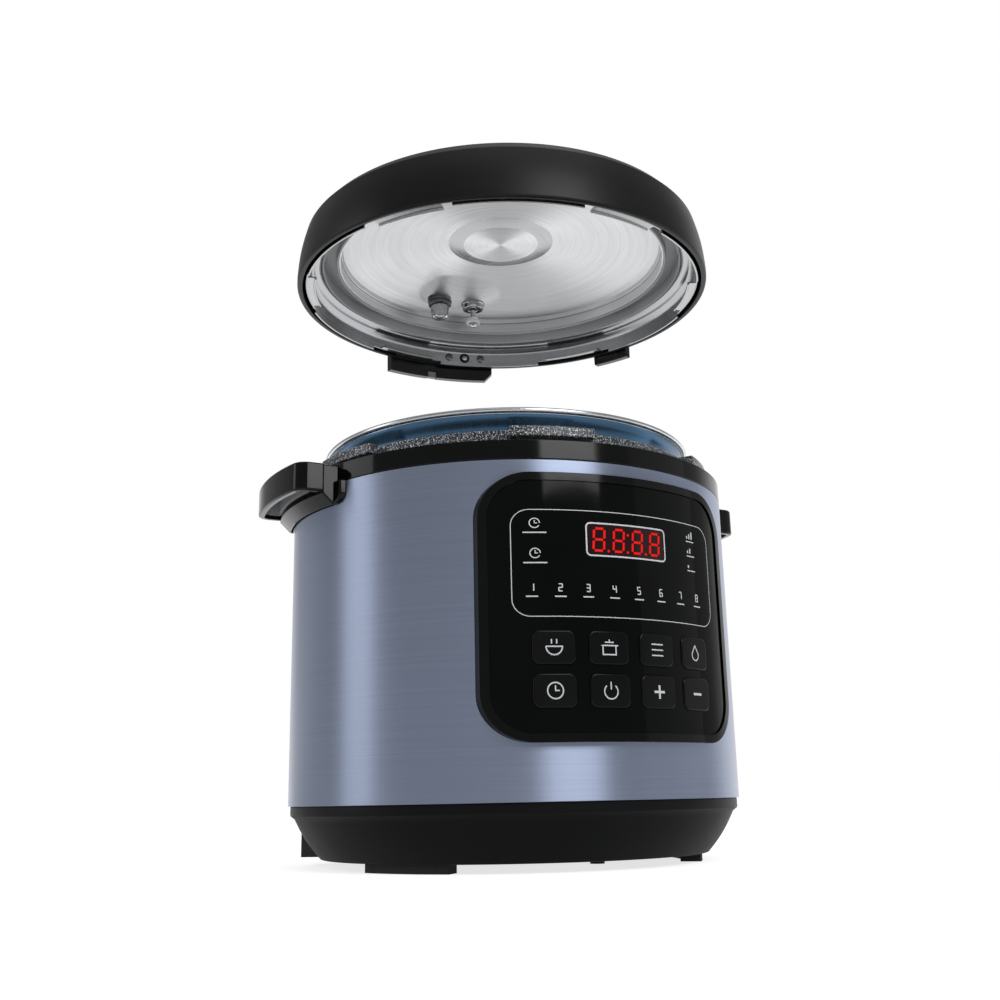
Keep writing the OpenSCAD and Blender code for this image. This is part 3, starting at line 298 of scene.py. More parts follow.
def finished(bm, name, body, material, stands_for=(), sharp=40):
    """Turns a bmesh in millimetres into a piece in metres that rides on its body."""
    moved(bm, to_metres)
    for face in bm.faces:
        face.smooth = True
    for edge in bm.edges:
        edge.smooth = not edge.is_manifold or edge.calc_face_angle() < radians(sharp)
    piece = linked(bm, name)
    piece.data.materials.append(material)
    even_normals(piece)
    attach(piece, body)
    if stands_for:
        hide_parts(*stands_for)
    return piece


def carve(piece, cutter):
    """Cuts a closed bmesh in millimetres out of a finished piece."""
    tool = linked(moved(cutter, to_metres), "cutter")
    piece.modifiers.clear()
    cut = piece.modifiers.new("cut", "BOOLEAN")
    cut.operation, cut.solver, cut.object = "DIFFERENCE", "EXACT", tool
    bpy.context.view_layer.update()
    result = bpy.data.meshes.new_from_object(piece.evaluated_get(bpy.context.evaluated_depsgraph_get()))
    piece.modifiers.clear()
    spent = (piece.data, tool.data)
    piece.data = result
    result.name = piece.name
    bpy.data.objects.remove(tool)
    for mesh in spent:
        bpy.data.meshes.remove(mesh)
    even_normals(piece)


def block(bm, low, high, turn=0.0, out=0.0):
    """Adds a box to a bmesh, moved out along X and then turned about the pot's axis."""
    low, high = Vector(low), Vector(high)
    middle = (low + high) / 2 + Vector((out, 0, 0))
    place = Matrix.Rotation(radians(turn), 4, "Z") @ Matrix.Translation(middle)
    bmesh.ops.create_cube(bm, size=1, matrix=place @ Matrix.Diagonal([*(high - low), 1]))


pan_z, seam_z = levels("base_pan")
lip_r = corners("base_pan")[1].x
foot_r, cone_r, pan_wall = 118.0, lip_r - 2.6, 2.5
pan_black = grained("moulded_polypropylene", 0.9, 0.1, ("#090a0b", "#0c0d0f"), (0.38, 0.46), 0.1)
cone = bow((foot_r, pan_z), (cone_r, seam_z - 7.5), 1.2, 12)
pan_outline = [(0, pan_z), (foot_r - 3, pan_z), *cone, (lip_r, seam_z - 5.5), (lip_r, seam_z),
               (lip_r - pan_wall, seam_z), (lip_r - pan_wall, seam_z - 6),
               *[(p.x - pan_wall, p.y + pan_wall * 0.4) for p in reversed(cone)], (0, pan_z + pan_wall)]
base_pan = finished(soften(spun(pan_outline), 0.5, 2), "base_pan_shell", "base", pan_black, ["base_pan"])
vent_count, vent_first, vent_from, vent_len, vent_w = 10, 18, 56, 26, 3
vents = bmesh.new()
for i in range(vent_count):
    block(vents, (0, -vent_w / 2, 0), (vent_len, vent_w / 2, pan_z + 8),
          vent_first + i * 360 / vent_count, vent_from)
carve(base_pan, vents)


# ---- Mains inlet ----
# A black glass-filled nylon hood at the back of the pan, with a socket for a detachable lead.
# Three plated brass blades stand in the socket.
def softened(node, width, segments=2, angle=30):
    """A copy of a CAD node in millimetres, with its sharp edges rounded where a width is given."""
    bm = bmesh.new()
    bm.from_mesh(cad[node].data)
    moved(bm, Matrix.Scale(1000, 4))
    bmesh.ops.remove_doubles(bm, verts=bm.verts, dist=2e-3)
    bmesh.ops.dissolve_limit(bm, angle_limit=radians(1), verts=bm.verts, edges=bm.edges)
    return soften(bm, width, segments, angle) if width else bm


inlet_black = grained("moulded_nylon", 0.7, 0.15, ("#0e0f11", "#141518"), (0.4, 0.5))
plated_brass = grained("plated_brass", 0.5, 0.05, ("#c8ba90", "#d6caa6"), (0.2, 0.32), Metallic=1.0)
finished(softened("power_inlet", 0.5), "inlet_hood", "base", inlet_black, ["power_inlet"])
dress(plated_brass, "inlet_pins", "heater_terminals")

# ---- Screws, posts and shield ----
# Zinc-plated steel posts stand on the pan, a galvanised sheet stands round the pot, and black
# screws hold the pan to the posts. Plated steel is bright and a little cloudy.
zinc_steel = grained("zinc_plated_steel", 1.2, 0.08, ("#a6aaae", "#c2c6ca"), (0.26, 0.4), Metallic=1.0)
dress(zinc_steel, "grip_screws", "chassis_posts", "heat_shield", "sensor_bracket")
dress(grained("blackened_screw_steel", 0.8, 0.1, ("#121417", "#191b1e"), (0.4, 0.5), Metallic=0.6),
      "pan_screws")

# ---- Heater, sensor and electrics ----
# A cast aluminium plate on legs, a sprung sensor in its middle, a ceramic switch, a fuse, two boards.
# They sit inside the closed base, and each has its own plain finish.
dress(grained("turned_cast_aluminium", 1.5, 0.2, ("#a9acaf", "#c3c6c9"), (0.34, 0.48), Metallic=1.0),
      "heating_plate", "thermal_sensor", "thermal_fuse")
dress(grained("ivory_phenolic", 1.0, 0.1, ("#d2cab8", "#e0dacb"), (0.45, 0.56)),
      "pressure_switch", "display_module", "key_switches")
dress(grained("solder_mask", 1.0, 0.05, ("#1a5434", "#22633f"), (0.3, 0.42)), "power_board", "control_board")
dress(grained("moulded_components", 0.8, 0.08, ("#2c4874", "#385a8c"), (0.35, 0.46)), "power_parts")
spring_wire = grained("spring_steel_wire", 0.5, 0.05, ("#82878c", "#999ea3"), (0.25, 0.36), Metallic=1.0)
spring = finished(softened("sensor_spring", 0), "sensor_coil", "base", spring_wire, ["sensor_spring"])
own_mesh(spring)

# ---- Pressure pot ----
# A pressed pot with a folded flange and six bayonet lugs, coated with a speckled granite enamel.
# The flange shows dark grey with black and white flecks, and a thin dark gap under each lug.
enamel, granite, granite_place = new_material("granite_enamel", Roughness=0.3, Specular_IOR_Level=0.4)
fleck = add(granite, "TexNoise", {"Vector": granite_place, "Scale": 1300.0, "Detail": 2.0,
                                  "Roughness": 0.7}).outputs["Fac"]
tint(granite, fleck, ((0, "#0b0c0e"), (0.47, "#26292d"), (0.55, "#7b8188"), (0.61, "#dfe3e7")),
     steps="CONSTANT")
pebbles = add(granite, "Bump", {"Height": fleck, "Strength": 0.15, "Distance": 0.0002})
granite.links.new(pebbles.outputs["Normal"], granite.nodes["Principled BSDF"].inputs["Normal"])


def turned(bm, angle):
    """Turns a bmesh about the pot's axis."""
    return moved(bm, Matrix.Rotation(radians(angle), 4, "Z"))


def swept(outline, start, end, steps=24):
    """Sweeps a closed outline of (radius, height) points round the pot's axis from one angle to another."""
    bm = bmesh.new()
    geom = profile(bm, outline)
    bmesh.ops.spin(turned(bm, start), geom=geom, cent=(0, 0, 0), axis=(0, 0, 1), angle=radians(end - start),
                   steps=steps)
    bmesh.ops.holes_fill(bm, edges=[e for e in bm.edges if e.is_boundary])
    return faced_out(bm)


def joined(parts):
    """Puts several bmeshes into the first one."""
    whole = parts[0]
    for part in parts[1:]:
        loose = bpy.data.meshes.new("loose")
        part.to_mesh(loose)
        part.free()
        whole.from_mesh(loose)
        bpy.data.meshes.remove(loose)
    return whole


pot_z, flange_top = levels("outer_pot")
ring_foot, ring_top = levels("top_ring")
pot_out_r, pot_in_r, flange_r, lug_r, wall = 115.1, 113.5, 121.5, 130.7, 1.6
pot_outline = [(0, pot_z), (pot_out_r - 12, pot_z), (pot_out_r - 3.5, pot_z + 3.5), (pot_out_r, pot_z + 12),
               (pot_out_r, flange_top - wall), (flange_r - wall, flange_top - wall),
               (flange_r - wall, ring_top), (flange_r, ring_top), (flange_r, flange_top),
               (pot_in_r, flange_top), (pot_in_r, pot_z + 12), (pot_in_r - 3, pot_z + 5),
               (pot_in_r - 12, pot_z + wall), (0, pot_z + wall)]
lug_count, lug_h, lug_drop, lug_span, lug_first = 6, 6.2, 0.1, 22, -106
lug_turn = 360 / lug_count
lug_low, lug_high = flange_top - lug_h - lug_drop, flange_top - lug_drop
lug = [(flange_r - 0.8, lug_low), (lug_r, lug_low), (lug_r, lug_high), (flange_r - 0.8, lug_high)]
pot_parts = [soften(spun(pot_outline), 0.7, 3)]
for i in range(lug_count):
    middle = lug_first + i * lug_turn
    pot_parts.append(soften(swept(lug, middle - lug_span / 2, middle + lug_span / 2), 0.9, 3))
finished(joined(pot_parts), "pressure_pot", "base", enamel, ["outer_pot"])


# ---- Steel housing ----
# A band of stainless sheet with a slate-blue tint, rolled round the body and brushed along its turn.
# The brushing pulls each lamp into an upright streak; its lines are drawn coarse enough to show.
def brushed(name, lines_of, tones, rough, spread, pull, depth=0.0):
    """A metal with brush lines: tone, gloss and fine ridges that follow a vector made by a function."""
    material, tree, place = new_material(name, Metallic=1.0, Anisotropic=pull, Anisotropic_Rotation=0.25)
    lines = add(tree, "TexNoise", {"Vector": lines_of(tree, place), "Scale": 1.0, "Detail": 3.0,
                                   "Roughness": 0.65}).outputs["Fac"]
    surface(tree, lines, ((0.5 - spread, tones[0]), (0.5 + spread, tones[1])), rough, lines, depth, 0.0001)
    round_axis = add(tree, "Tangent", direction_type="RADIAL", axis="Z")
    tree.links.new(round_axis.outputs["Tangent"], tree.nodes["Principled BSDF"].inputs["Tangent"])
    return material


def level_lines(tree, place):
    """Lines about 1 mm high and 170 mm long that run level round the body."""
    return add(tree, "Mapping", {"Vector": place, "Scale": (6, 6, 1000)}).outputs[0]


def rounded(width, height, radius, middle_z=0.0, steps=10):
    """Outline of a rounded rectangle in (across, up) points."""
    points = []
    for quarter, (sx, sz) in enumerate(((1, 1), (-1, 1), (-1, -1), (1, -1))):
        for i in range(steps + 1):
            a = radians(90 * quarter + 90 * i / steps)
            points.append((sx * (width / 2 - radius) + radius * cos(a),
                           middle_z + sz * (height / 2 - radius) + radius * sin(a)))
    return points


def drawn_out(points, way):
    """A straight prism over a ring of points, drawn out along a way."""
    bm = bmesh.new()
    face = bm.faces.new([bm.verts.new(point) for point in points])
    grown = bmesh.ops.extrude_face_region(bm, geom=[face], use_keep_orig=True)["geom"]
    bmesh.ops.translate(bm, vec=way, verts=[v for v in grown if isinstance(v, bmesh.types.BMVert)])
    return faced_out(bm)


def through_panel(*sizes):
    """A cutter over a rounded rectangle of these sizes that goes right through the panel and the band."""
    near, far = 90, 170
    return drawn_out([(x, -near, z) for x, z in rounded(*sizes)], (0, near - far, 0))


band_r, ring_z = corners("housing_band")[1].xz
sheet = 0.8
tinted_steel = brushed("tinted_brushed_steel", level_lines, ("#8c96ac", "#949eb4"), (0.38, 0.42), 0.2, 0.95)
band_outline = [(band_r - sheet, seam_z), (band_r, seam_z), (band_r, ring_z), (band_r - sheet, ring_z)]
band = finished(soften(spun(band_outline, 240), 0.3, 2, 60), "steel_band", "base", tinted_steel,
                ["housing_band"])
panel_w, panel_h, panel_z, panel_corner, panel_lap = 161.0, 144.0, 137.4, 25.0, 5
carve(band, through_panel(panel_w - 2 * panel_lap, panel_h - 2 * panel_lap, panel_corner - panel_lap,
                          panel_z))


# ---- Control panel ----
# A bezel of polished black ABS carries a film of black acrylic, printed from behind.
# Both follow the band's curve; the film is glassy, and the bezel's rim throws one bright line.
def slab(outline, r_in, r_out, pitch=3.0, rim=0.0, segments=3):
    """A curved plate in front of the axis over an (across, up) outline, its front rim rounded."""
    bm = bmesh.new()
    bm.faces.new([bm.verts.new((x, 0, z)) for x, z in outline])
    reach = max(x for x, z in outline)
    low = min(x for x, z in outline)
    cuts = int((reach - low) / pitch)
    for i in range(1, cuts):
        bmesh.ops.bisect_plane(bm, geom=bm.verts[:] + bm.edges[:] + bm.faces[:],
                               plane_co=(low + (reach - low) * i / cuts, 0, 0), plane_no=(1, 0, 0))
    grown = bmesh.ops.extrude_face_region(bm, geom=bm.faces[:], use_keep_orig=True)
    front = {f for f in grown["geom"] if isinstance(f, bmesh.types.BMFace)}
    bmesh.ops.translate(bm, vec=(0, r_in - r_out, 0), verts=list({v for f in front for v in f.verts}))
    faced_out(bm)
    if rim:
        bevelled(bm, [e for e in bm.edges if len(set(e.link_faces) & front) == 1], rim, segments)
    for v in bm.verts:
        r = r_in - v.co.y
        v.co.y = -sqrt(r * r - v.co.x * v.co.x)
    return bm


gloss_black = grained("polished_abs", 30, 0.015, ("#020303", "#040505"), (0.06, 0.12), 0.22)
film_black = grained("printed_acrylic_film", 60, 0.01, ("#020303", "#050606"), (0.04, 0.08), 0.12)
window_red = grained("smoked_red_lens", 40, 0.01, ("#180406", "#220709"), (0.05, 0.08), 0.3)
face_r, bezel_rim, bezel_round, step_in, film_t, fine_pitch = 142.0, 4.5, 2.6, 0.9, 2, 2.4
film_r = face_r - step_in
well_w, well_h, well_corner = panel_w - 2 * bezel_rim, panel_h - 2 * bezel_rim, panel_corner - bezel_rim
bezel_bm = slab(rounded(panel_w, panel_h, panel_corner, panel_z, 14), band_r + 0.02, face_r, fine_pitch,
                bezel_round, 5)
bezel = finished(bezel_bm, "panel_bezel", "base", gloss_black, ["control_bezel"])
carve(bezel, through_panel(well_w, well_h, well_corner, panel_z, 14))
film = finished(slab(rounded(well_w - 0.3, well_h - 0.3, well_corner, panel_z, 14), film_r - film_t, film_r,
                     fine_pitch, 0.35, 2), "panel_film", "base", film_black, ["panel_overlay"])
window_w, window_h, window_z, window_corner = 51.6, 18.5, 172.9, 3
carve(film, through_panel(window_w + 0.2, window_h + 0.2, window_corner, window_z))
finished(slab(rounded(window_w, window_h, window_corner, window_z), film_r - film_t, film_r - 0.25,
              fine_pitch), "display_lens", "base", window_red, ["display_window"])


# Digits of glowing red bars: four figures of seven bars each, with points and a colon between.
def inked(name, scale, tones, socket, **inputs):
    """A thin layer of colour that is a little uneven, as print and lit bars are."""
    material, tree, place = new_material(name, **inputs)
    cloud = add(tree, "TexNoise", {"Vector": place, "Scale": scale}).outputs["Fac"]
    tint(tree, cloud, ((0, tones[0]), (1, tones[1])), socket)
    return material


def stroke(bm, points, width, closed=False):
    """Adds a flat line of one width through (across, up) points, in steps that suit the panel's curve."""
    track = [Vector(p) for p in points]
    if closed:
        track.append(track[0])
    fine = [track[0]]
    for a, b in zip(track, track[1:]):
        parts = max(1, int((b - a).length / 2))
        fine += [a.lerp(b, (i + 1) / parts) for i in range(parts)]
    pairs = []
    for i, point in enumerate(fine):
        before = fine[i - 1] if i else (fine[-2] if closed else point)
        after = fine[i + 1] if i + 1 < len(fine) else (fine[1] if closed else point)
        into, out = (point - before), (after - point)
        into = into.normalized() if into.length else out.normalized()
        out = out.normalized() if out.length else into
        along = (into + out).normalized()
        side = Vector((-along.y, along.x)) * width / 2 / max(0.4, along.dot(into))
        pairs.append([bm.verts.new((p.x, 0, p.y)) for p in (point + side, point - side)])
    for (a, b), (c, d) in zip(pairs, pairs[1:]):
        bm.faces.new((a, b, d, c))


def arc(middle, radius, start, end, steps=12):
    """Points round a middle point in (across, up), from one angle to another."""
    turns = [radians(start + (end - start) * i / steps) for i in range(steps + 1)]
    return [(middle[0] + radius * cos(a), middle[1] + radius * sin(a)) for a in turns]


def onto_panel(bm, radius, middle=(0, 0), lean=0.0):
    """Lays flat (across, up) work on the panel's curve, leaning like italics."""
    for v in bm.verts:
        x = middle[0] + v.co.x + lean * v.co.z
        v.co = (x, -sqrt(radius * radius - x * x), middle[1] + v.co.z)
    for face in bm.faces:
        face.normal_update()
        if face.normal.y > 0:
            face.normal_flip()
    return bm


digit_red = inked("lit_red_segments", 700.0, ("#d80a05", "#f31a10"), "Emission Color", Roughness=0.5,
                  Base_Color=linear("#3a0503"), Specular_IOR_Level=0.1, Emission_Strength=1.0)
digit_h, digit_w, bar_w, bar_gap, slant, dot_r = 12.2, 6.2, 1.3, 0.75, 0.07, 0.75
digit_r = film_r - 0.15
bar_ends = {"a": ((-1, 2), (1, 2)), "b": ((1, 2), (1, 0)), "c": ((1, 0), (1, -2)), "d": ((-1, -2), (1, -2)),
            "e": ((-1, -2), (-1, 0)), "f": ((-1, 0), (-1, 2)), "g": ((-1, 0), (1, 0))}
digit_faces = []
for middle_x in (-18.1, -6.1, 6.0, 18.0):
    digit = bmesh.new()
    for ends in bar_ends.values():
        a, b = [Vector((x * digit_w / 2, z * digit_h / 4)) for x, z in ends]
        along = (b - a).normalized()
        stroke(digit, [a + along * bar_gap, b - along * bar_gap], bar_w)
    digit_faces.append(onto_panel(digit, digit_r, (middle_x, window_z), slant))
dots = bmesh.new()
for x, z in ((-12.6, -6.1), (-0.6, -6.1), (11.5, -6.1), (-0.1, 3.6)):
    bmesh.ops.create_circle(dots, cap_ends=True, segments=16, radius=dot_r,
                            matrix=Matrix.Translation((x, 0, z)) @ Matrix.Rotation(pi / 2, 4, "X"))
digit_faces.append(onto_panel(dots, digit_r, (0, window_z)))
finished(joined(digit_faces), "display_digits", "base", digit_red)

# White print: a thin frame, a bolder frame round the display, numerals and plain signs.
white_print = inked("white_screen_print", 900.0, ("#a6aaae", "#d0d3d6"), "Base Color", Roughness=0.35)
figures = ("bc", "abged", "abgcd", "fgbc", "afgcd", "afgedc", "abc", "abcdefg")
figure_scale, thin, rule = 0.95, 0.5, 0.7
signs = bmesh.new()
stroke(signs, rounded(129.6, 57.9, 9, 159.5, 8), 0.42, closed=True)
stroke(signs, rounded(window_w - 0.6, window_h - 0.6, 2.4, window_z, 6), 0.85, closed=True)
first_lamp, lamp_pitch, figure_z, lamp_z = -23.0, 6.3, 146.0, 141.2
for i, letters in enumerate(figures):
    x = film_r * sin(radians(first_lamp + lamp_pitch * i))
    for letter in letters:
        ends = [(x + a * figure_scale, figure_z + b * figure_scale) for a, b in bar_ends[letter]]
        stroke(signs, ends, 0.6)
    stroke(signs, [(x - 3, lamp_z), (x + 3, lamp_z)], rule)
dial_x, dial_r = -53.0, 2.6
for z in (181.0, 164.5):
    stroke(signs, arc((dial_x, z), dial_r, 0, 330, 16), 0.55)
    stroke(signs, [(dial_x, z + 1.6), (dial_x, z), (dial_x + 1.4, z)], thin)
    stroke(signs, [(dial_x - 6, z - 5.2), (dial_x + 6, z - 5.2)], rule)
level_x, level_pitch = 45, 2.1
for row, z in enumerate((181.5, 173.0, 164.5)):
    for step in range(3 - row):
        x = level_x + step * level_pitch
        stroke(signs, [(x, z - 1.6), (x, z + 1.3 * step)], 1.0)
    stroke(signs, [(level_x - 1, z - 3.2), (level_x + 6, z - 3.2)], 0.6)
finished(onto_panel(signs, film_r + 0.03), "panel_print", "base", white_print)

# ---- Keys ----
# Eight caps of black ABS behind the film's openings, each with a soft rounded rim.
# Six carry plain marks, and the last two a plus and a minus.
key_black = grained("moulded_abs_key", 4, 0.03, ("#040505", "#080909"), (0.18, 0.26), 0.16)
key_w, key_h, key_corner, key_round, key_gap, key_t, key_r = 23.4, 18.0, 4.0, 2.4, 0.15, 6.7, film_r + 0.9
column_angles, row_heights = (-18.6, -6.2, 6.2, 18.6), (114.2, 91.7)
line_w, bold_w, arm = 0.7, 1.3, 3.6
bowl = arc((0, 0.4), 4.4, 180, 360) + [(-4.4, 0.4)]
pot_body = [(-3.8, 1.2), (-3.8, -3.6), (3.8, -3.6), (3.8, 1.2), (-5.2, 1.2), (5.2, 1.2)]
level_bar = [(-arm, 0), (arm, 0)]
key_signs = {
    "button_1": [bowl, [(-1.4, 1.8), (-1.4, 4.2)], [(1.4, 1.8), (1.4, 4.2)]],
    "button_2": [pot_body, [(-2.6, 2.9), (2.6, 2.9)], [(0, 3.2), (0, 4.4)]],
    "button_3": [[(-4, z), (4, z)] for z in (3.0, 0.0, -3.0)],
    "button_4": [[(0, 4.4), *arc((0, -1), 2.9, 35, -215, 16), (0, 4.4)]],
    "button_5": [arc((0, 0), 4.2, 90, 450, 24), [(0, 2.7), (0, 0), (2.2, 0)]],
    "button_6": [arc((0, -0.4), 3.9, 130, 410, 20), [(0, 0.6), (0, 4.6)]],
    "button_plus": [level_bar, [(0, -arm), (0, arm)]],
    "button_minus": [level_bar],
}
for n, (body, tracks) in enumerate(key_signs.items()):
    angle, height = column_angles[n % 4], row_heights[n // 4]
    cap = slab(rounded(key_w, key_h, key_corner, height), key_r - key_t, key_r, fine_pitch, key_round, 6)
    hole = through_panel(key_w + 2 * key_gap, key_h + 2 * key_gap, key_corner + key_gap, height)
    carve(film, turned(hole, angle))
    finished(turned(cap, angle), body + "_cap", body, key_black, [body])
    sign = bmesh.new()
    for track in tracks:
        stroke(sign, track, bold_w if level_bar in tracks else line_w)
    onto_panel(sign, key_r + 0.03, (0, height))
    finished(turned(sign, angle), body + "_mark", body, white_print)

# ---- Top ring ----
# A ring of polished black ABS round the pot's mouth, its skirt clipped inside the band.
# The rounded shoulder carries a thin bright line all the way round.
mouth_r, skirt_r, clip_r, ring_t = pot_out_r + 0.5, band_r - 3.9, band_r - 0.9, 3
ring_outline = [(mouth_r, ring_top - ring_t), (skirt_r, ring_top - ring_t), (skirt_r, ring_foot),
                (clip_r, ring_foot), (clip_r, ring_z), (band_r, ring_z + 0.35), (band_r, ring_top),
                (mouth_r, ring_top)]
ring_bm = soften(spun(ring_outline, 240), 1.2, 4)
finished(ring_bm, "mouth_ring", "base", gloss_black, ["top_ring"])

# ---- Side handles ----
# Each is a flat-topped loop of polished black ABS, open below, on a bracket that hugs the band.
# A light grey tray lines the hollow under its top.
liner_grey = grained("moulded_grey_abs", 1.0, 0.08, ("#9b9d9f", "#aaacae"), (0.36, 0.46))
handle_low, handle_high = corners("right_handle")
handle_top, handle_r, bracket_z, half_w, corner_r = handle_high.z, handle_high.x, handle_low.z, 41.0, 9.0
grip_h, grip_wall, top_t, below = 17.0, 3.6, 3.0, 5
bracket_in, bracket_t, bracket_w, bracket_h, shoulder_r = 138.1, 3.0, 94, 24, 147.1
tray_gap, tray_wall, tray_up, tray_t = 0.1, 0.8, 2.6, 1.6


def handle_plan(inset, inner_r):
    """Outline of a handle from above: straight sides and an outer arc round the pot's axis."""
    r, w, c = handle_r - inset, half_w - inset, max(corner_r - inset, 1.5)
    corner_x = sqrt((r - c) ** 2 - (w - c) ** 2)
    corner_a = degrees(atan2(w - c, corner_x))
    inner_a = degrees(asin(w / inner_r))
    outline = arc((corner_x, c - w), c, -90, -corner_a, 8) + arc((0, 0), r, -corner_a, corner_a, 16)[1:-1]
    return outline + arc((corner_x, w - c), c, corner_a, 90, 8) + arc((0, 0), inner_r, inner_a, -inner_a, 12)


def risen(outline, low, high):
    """A prism over an outline seen from above."""
    return drawn_out([(x, y, low) for x, y in outline], (0, 0, high - low))


def trimmed(bm, place, way):
    """Cuts off what lies beyond a plane, and closes the cut."""
    bmesh.ops.bisect_plane(bm, geom=bm.verts[:] + bm.edges[:] + bm.faces[:], plane_co=place, plane_no=way,
                           clear_outer=True)
    bmesh.ops.holes_fill(bm, edges=[e for e in bm.edges if e.is_boundary])


shoulder_outline = [(bracket_in, bracket_z), (bracket_in + bracket_t, bracket_z),
                    (shoulder_r, bracket_z + 6), (shoulder_r, handle_top - 1), (bracket_in, handle_top - 1)]
tray_in = grip_wall + tray_gap
for side, angle in (("right", 0), ("left", 180)):
    loop = soften(risen(handle_plan(0, shoulder_r - 1), handle_top - grip_h, handle_top), 1.3, 4, 50)
    recess = risen(handle_plan(grip_wall, shoulder_r), handle_top - grip_h - below, handle_top - top_t)
    shoulder = swept(shoulder_outline, -19.5, 19.5, 40)
    for edge_y in (half_w, -half_w):
        trimmed(shoulder, (0, edge_y, 0), (0, edge_y, 0))
    soften(faced_out(shoulder), 0.8, 3, 50)
    bracket = slab(rounded(bracket_w, bracket_h, 6, bracket_z + bracket_h / 2), bracket_in,
                   bracket_in + bracket_t, 3.0, 1.0)
    trimmed(bracket, (0, 0, ring_z), (0, 0, 1))
    turned(bracket, 90)
    grip = finished(turned(loop, angle), side + "_handle_loop", "base", gloss_black, [side + "_handle"])
    carve(grip, turned(recess, angle))
    finished(joined([turned(shoulder, angle), turned(bracket, angle)]), side + "_handle_bracket", "base",
             gloss_black)
    tray = risen(handle_plan(tray_in, shoulder_r + tray_gap), handle_top - grip_h + tray_up,
                 handle_top - top_t)
    hollow = risen(handle_plan(tray_in + tray_wall, shoulder_r + tray_gap + tray_wall),
                   handle_top - grip_h - below, handle_top - top_t - tray_t)
    liner = finished(turned(tray, angle), side + "_handle_tray", "base", liner_grey,
                     [side + "_handle_liner"])
    carve(liner, turned(hollow, angle))

# ---- Condensation cup ----
# A small cup of smoky ABS that hangs on a rail behind the body and catches drips from the rim.
# It is glossy and lets no light through.
smoke_abs = grained("smoky_abs", 20, 0.02, ("#191b1d", "#202224"), (0.12, 0.2), 0.4)
finished(softened("cup_rail", 0.4), "cup_hook_rail", "base", smoke_abs, ["cup_rail"])
finished(softened("condensation_cup", 0.8, 3), "drip_cup", "condensation_cup", smoke_abs,
         ["condensation_cup"])


# ---- Inner pot ----
# A deep-drawn pot of stainless steel with a flared neck, satin inside and on its rolled rim. Its outside
# below the rim is a dark blue copy of the same steel, a painted reflection. It mirrors the white room in
# long soft bands.
def axis_rings(tree, place):
    """Rings a little over 2 mm wide round the pot's axis, each fading in and out along its turn."""
    flat = add(tree, "VectorMath", {0: place, 1: (1, 1, 0)}, operation="MULTIPLY").outputs[0]
    reach = add(tree, "VectorMath", {0: flat}, operation="LENGTH").outputs["Value"]
    way = add(tree, "VectorMath", {0: flat}, operation="NORMALIZE").outputs[0]
    parts = add(tree, "SeparateXYZ", {0: way}).outputs
    height = add(tree, "SeparateXYZ", {0: place}).outputs["Z"]
    steep = add(tree, "Math", {0: height, 1: 500.0}, operation="MULTIPLY").outputs[0]
    turns = add(tree, "Math", {0: reach, 1: 450.0, 2: steep}, operation="MULTIPLY_ADD").outputs[0]
    return add(tree, "CombineXYZ", {"X": parts["X"], "Y": parts["Y"], "Z": turns}).outputs[0]


satin_steel = brushed("satin_stainless", axis_rings, ("#c0c4c8", "#d2d5d8"), (0.18, 0.27), 0.25, 0.4)
# A dark blue copy of the pot's steel for its outside below the rim: a painted reflection.
deep_steel = brushed("stainless_painted_blue_reflection", axis_rings, ("#3c566d", "#496883"), (0.18, 0.28), 0.25, 0.4,
                     0.02)
inner_z, rim_top = levels("inner_pot")
inner_r, rim_r, roll, thin_wall, neck_h, neck_steps = 112.0, 117.5, 1.6, 0.9, 13, 14
neck_z = rim_top - neck_h
pot_side = []
for i in range(neck_steps + 1):
    t = i / neck_steps
    pot_side.append((inner_r + (rim_r - inner_r - roll * 0.6) * (1 - cos(pi * t)) / 2,
                     neck_z + (rim_top - roll - neck_z) * t))
inner_outline = [(0, inner_z), (inner_r - 12, inner_z), (inner_r - 6, inner_z + 1.7),
                 (inner_r - 1.7, inner_z + 6), (inner_r, inner_z + 12), *pot_side,
                 *arc((rim_r, rim_top - roll), roll, -150, 150, 15),
                 *[(r - thin_wall, z) for r, z in reversed(pot_side)], (inner_r - thin_wall, inner_z + 13),
                 (inner_r - 2.8, inner_z + 7.5), (inner_r - 6.5, inner_z + 4), (inner_r - 12, inner_z + 2.4),
                 (0, inner_z + 2.4)]
pot_bm = spun(inner_outline, 240)
# Faces that look outward below the rim take the dark blue steel, which paints in a reflection.
for face in pot_bm.faces:
    middle = face.calc_center_median()
    outward = face.normal.x * middle.x + face.normal.y * middle.y
    face.material_index = int(outward > 0 and middle.z < rim_top - 2 * roll)
pot = finished(pot_bm, "cooking_pot", "inner_pot", satin_steel, ["inner_pot"], sharp=60)
pot.data.materials.append(deep_steel)


# ---- Steel lid ----
# A spun stainless dish: domed disc with a raised boss, a pad for the valves, the seal's groove,
# a rolled ledge and a skirt whose six windows leave the bayonet lugs. It is brushed in rings.
def lifted(outline, level):
    """An outline of (radius, height) points raised to a level."""
    return [(r, h + level) for r, h in outline]


def disc_h(r):
    """Height of the disc's underside above the lid's edge."""
    return disc_edge_h + disc_rise * (1 - (r / disc_r) ** 2)


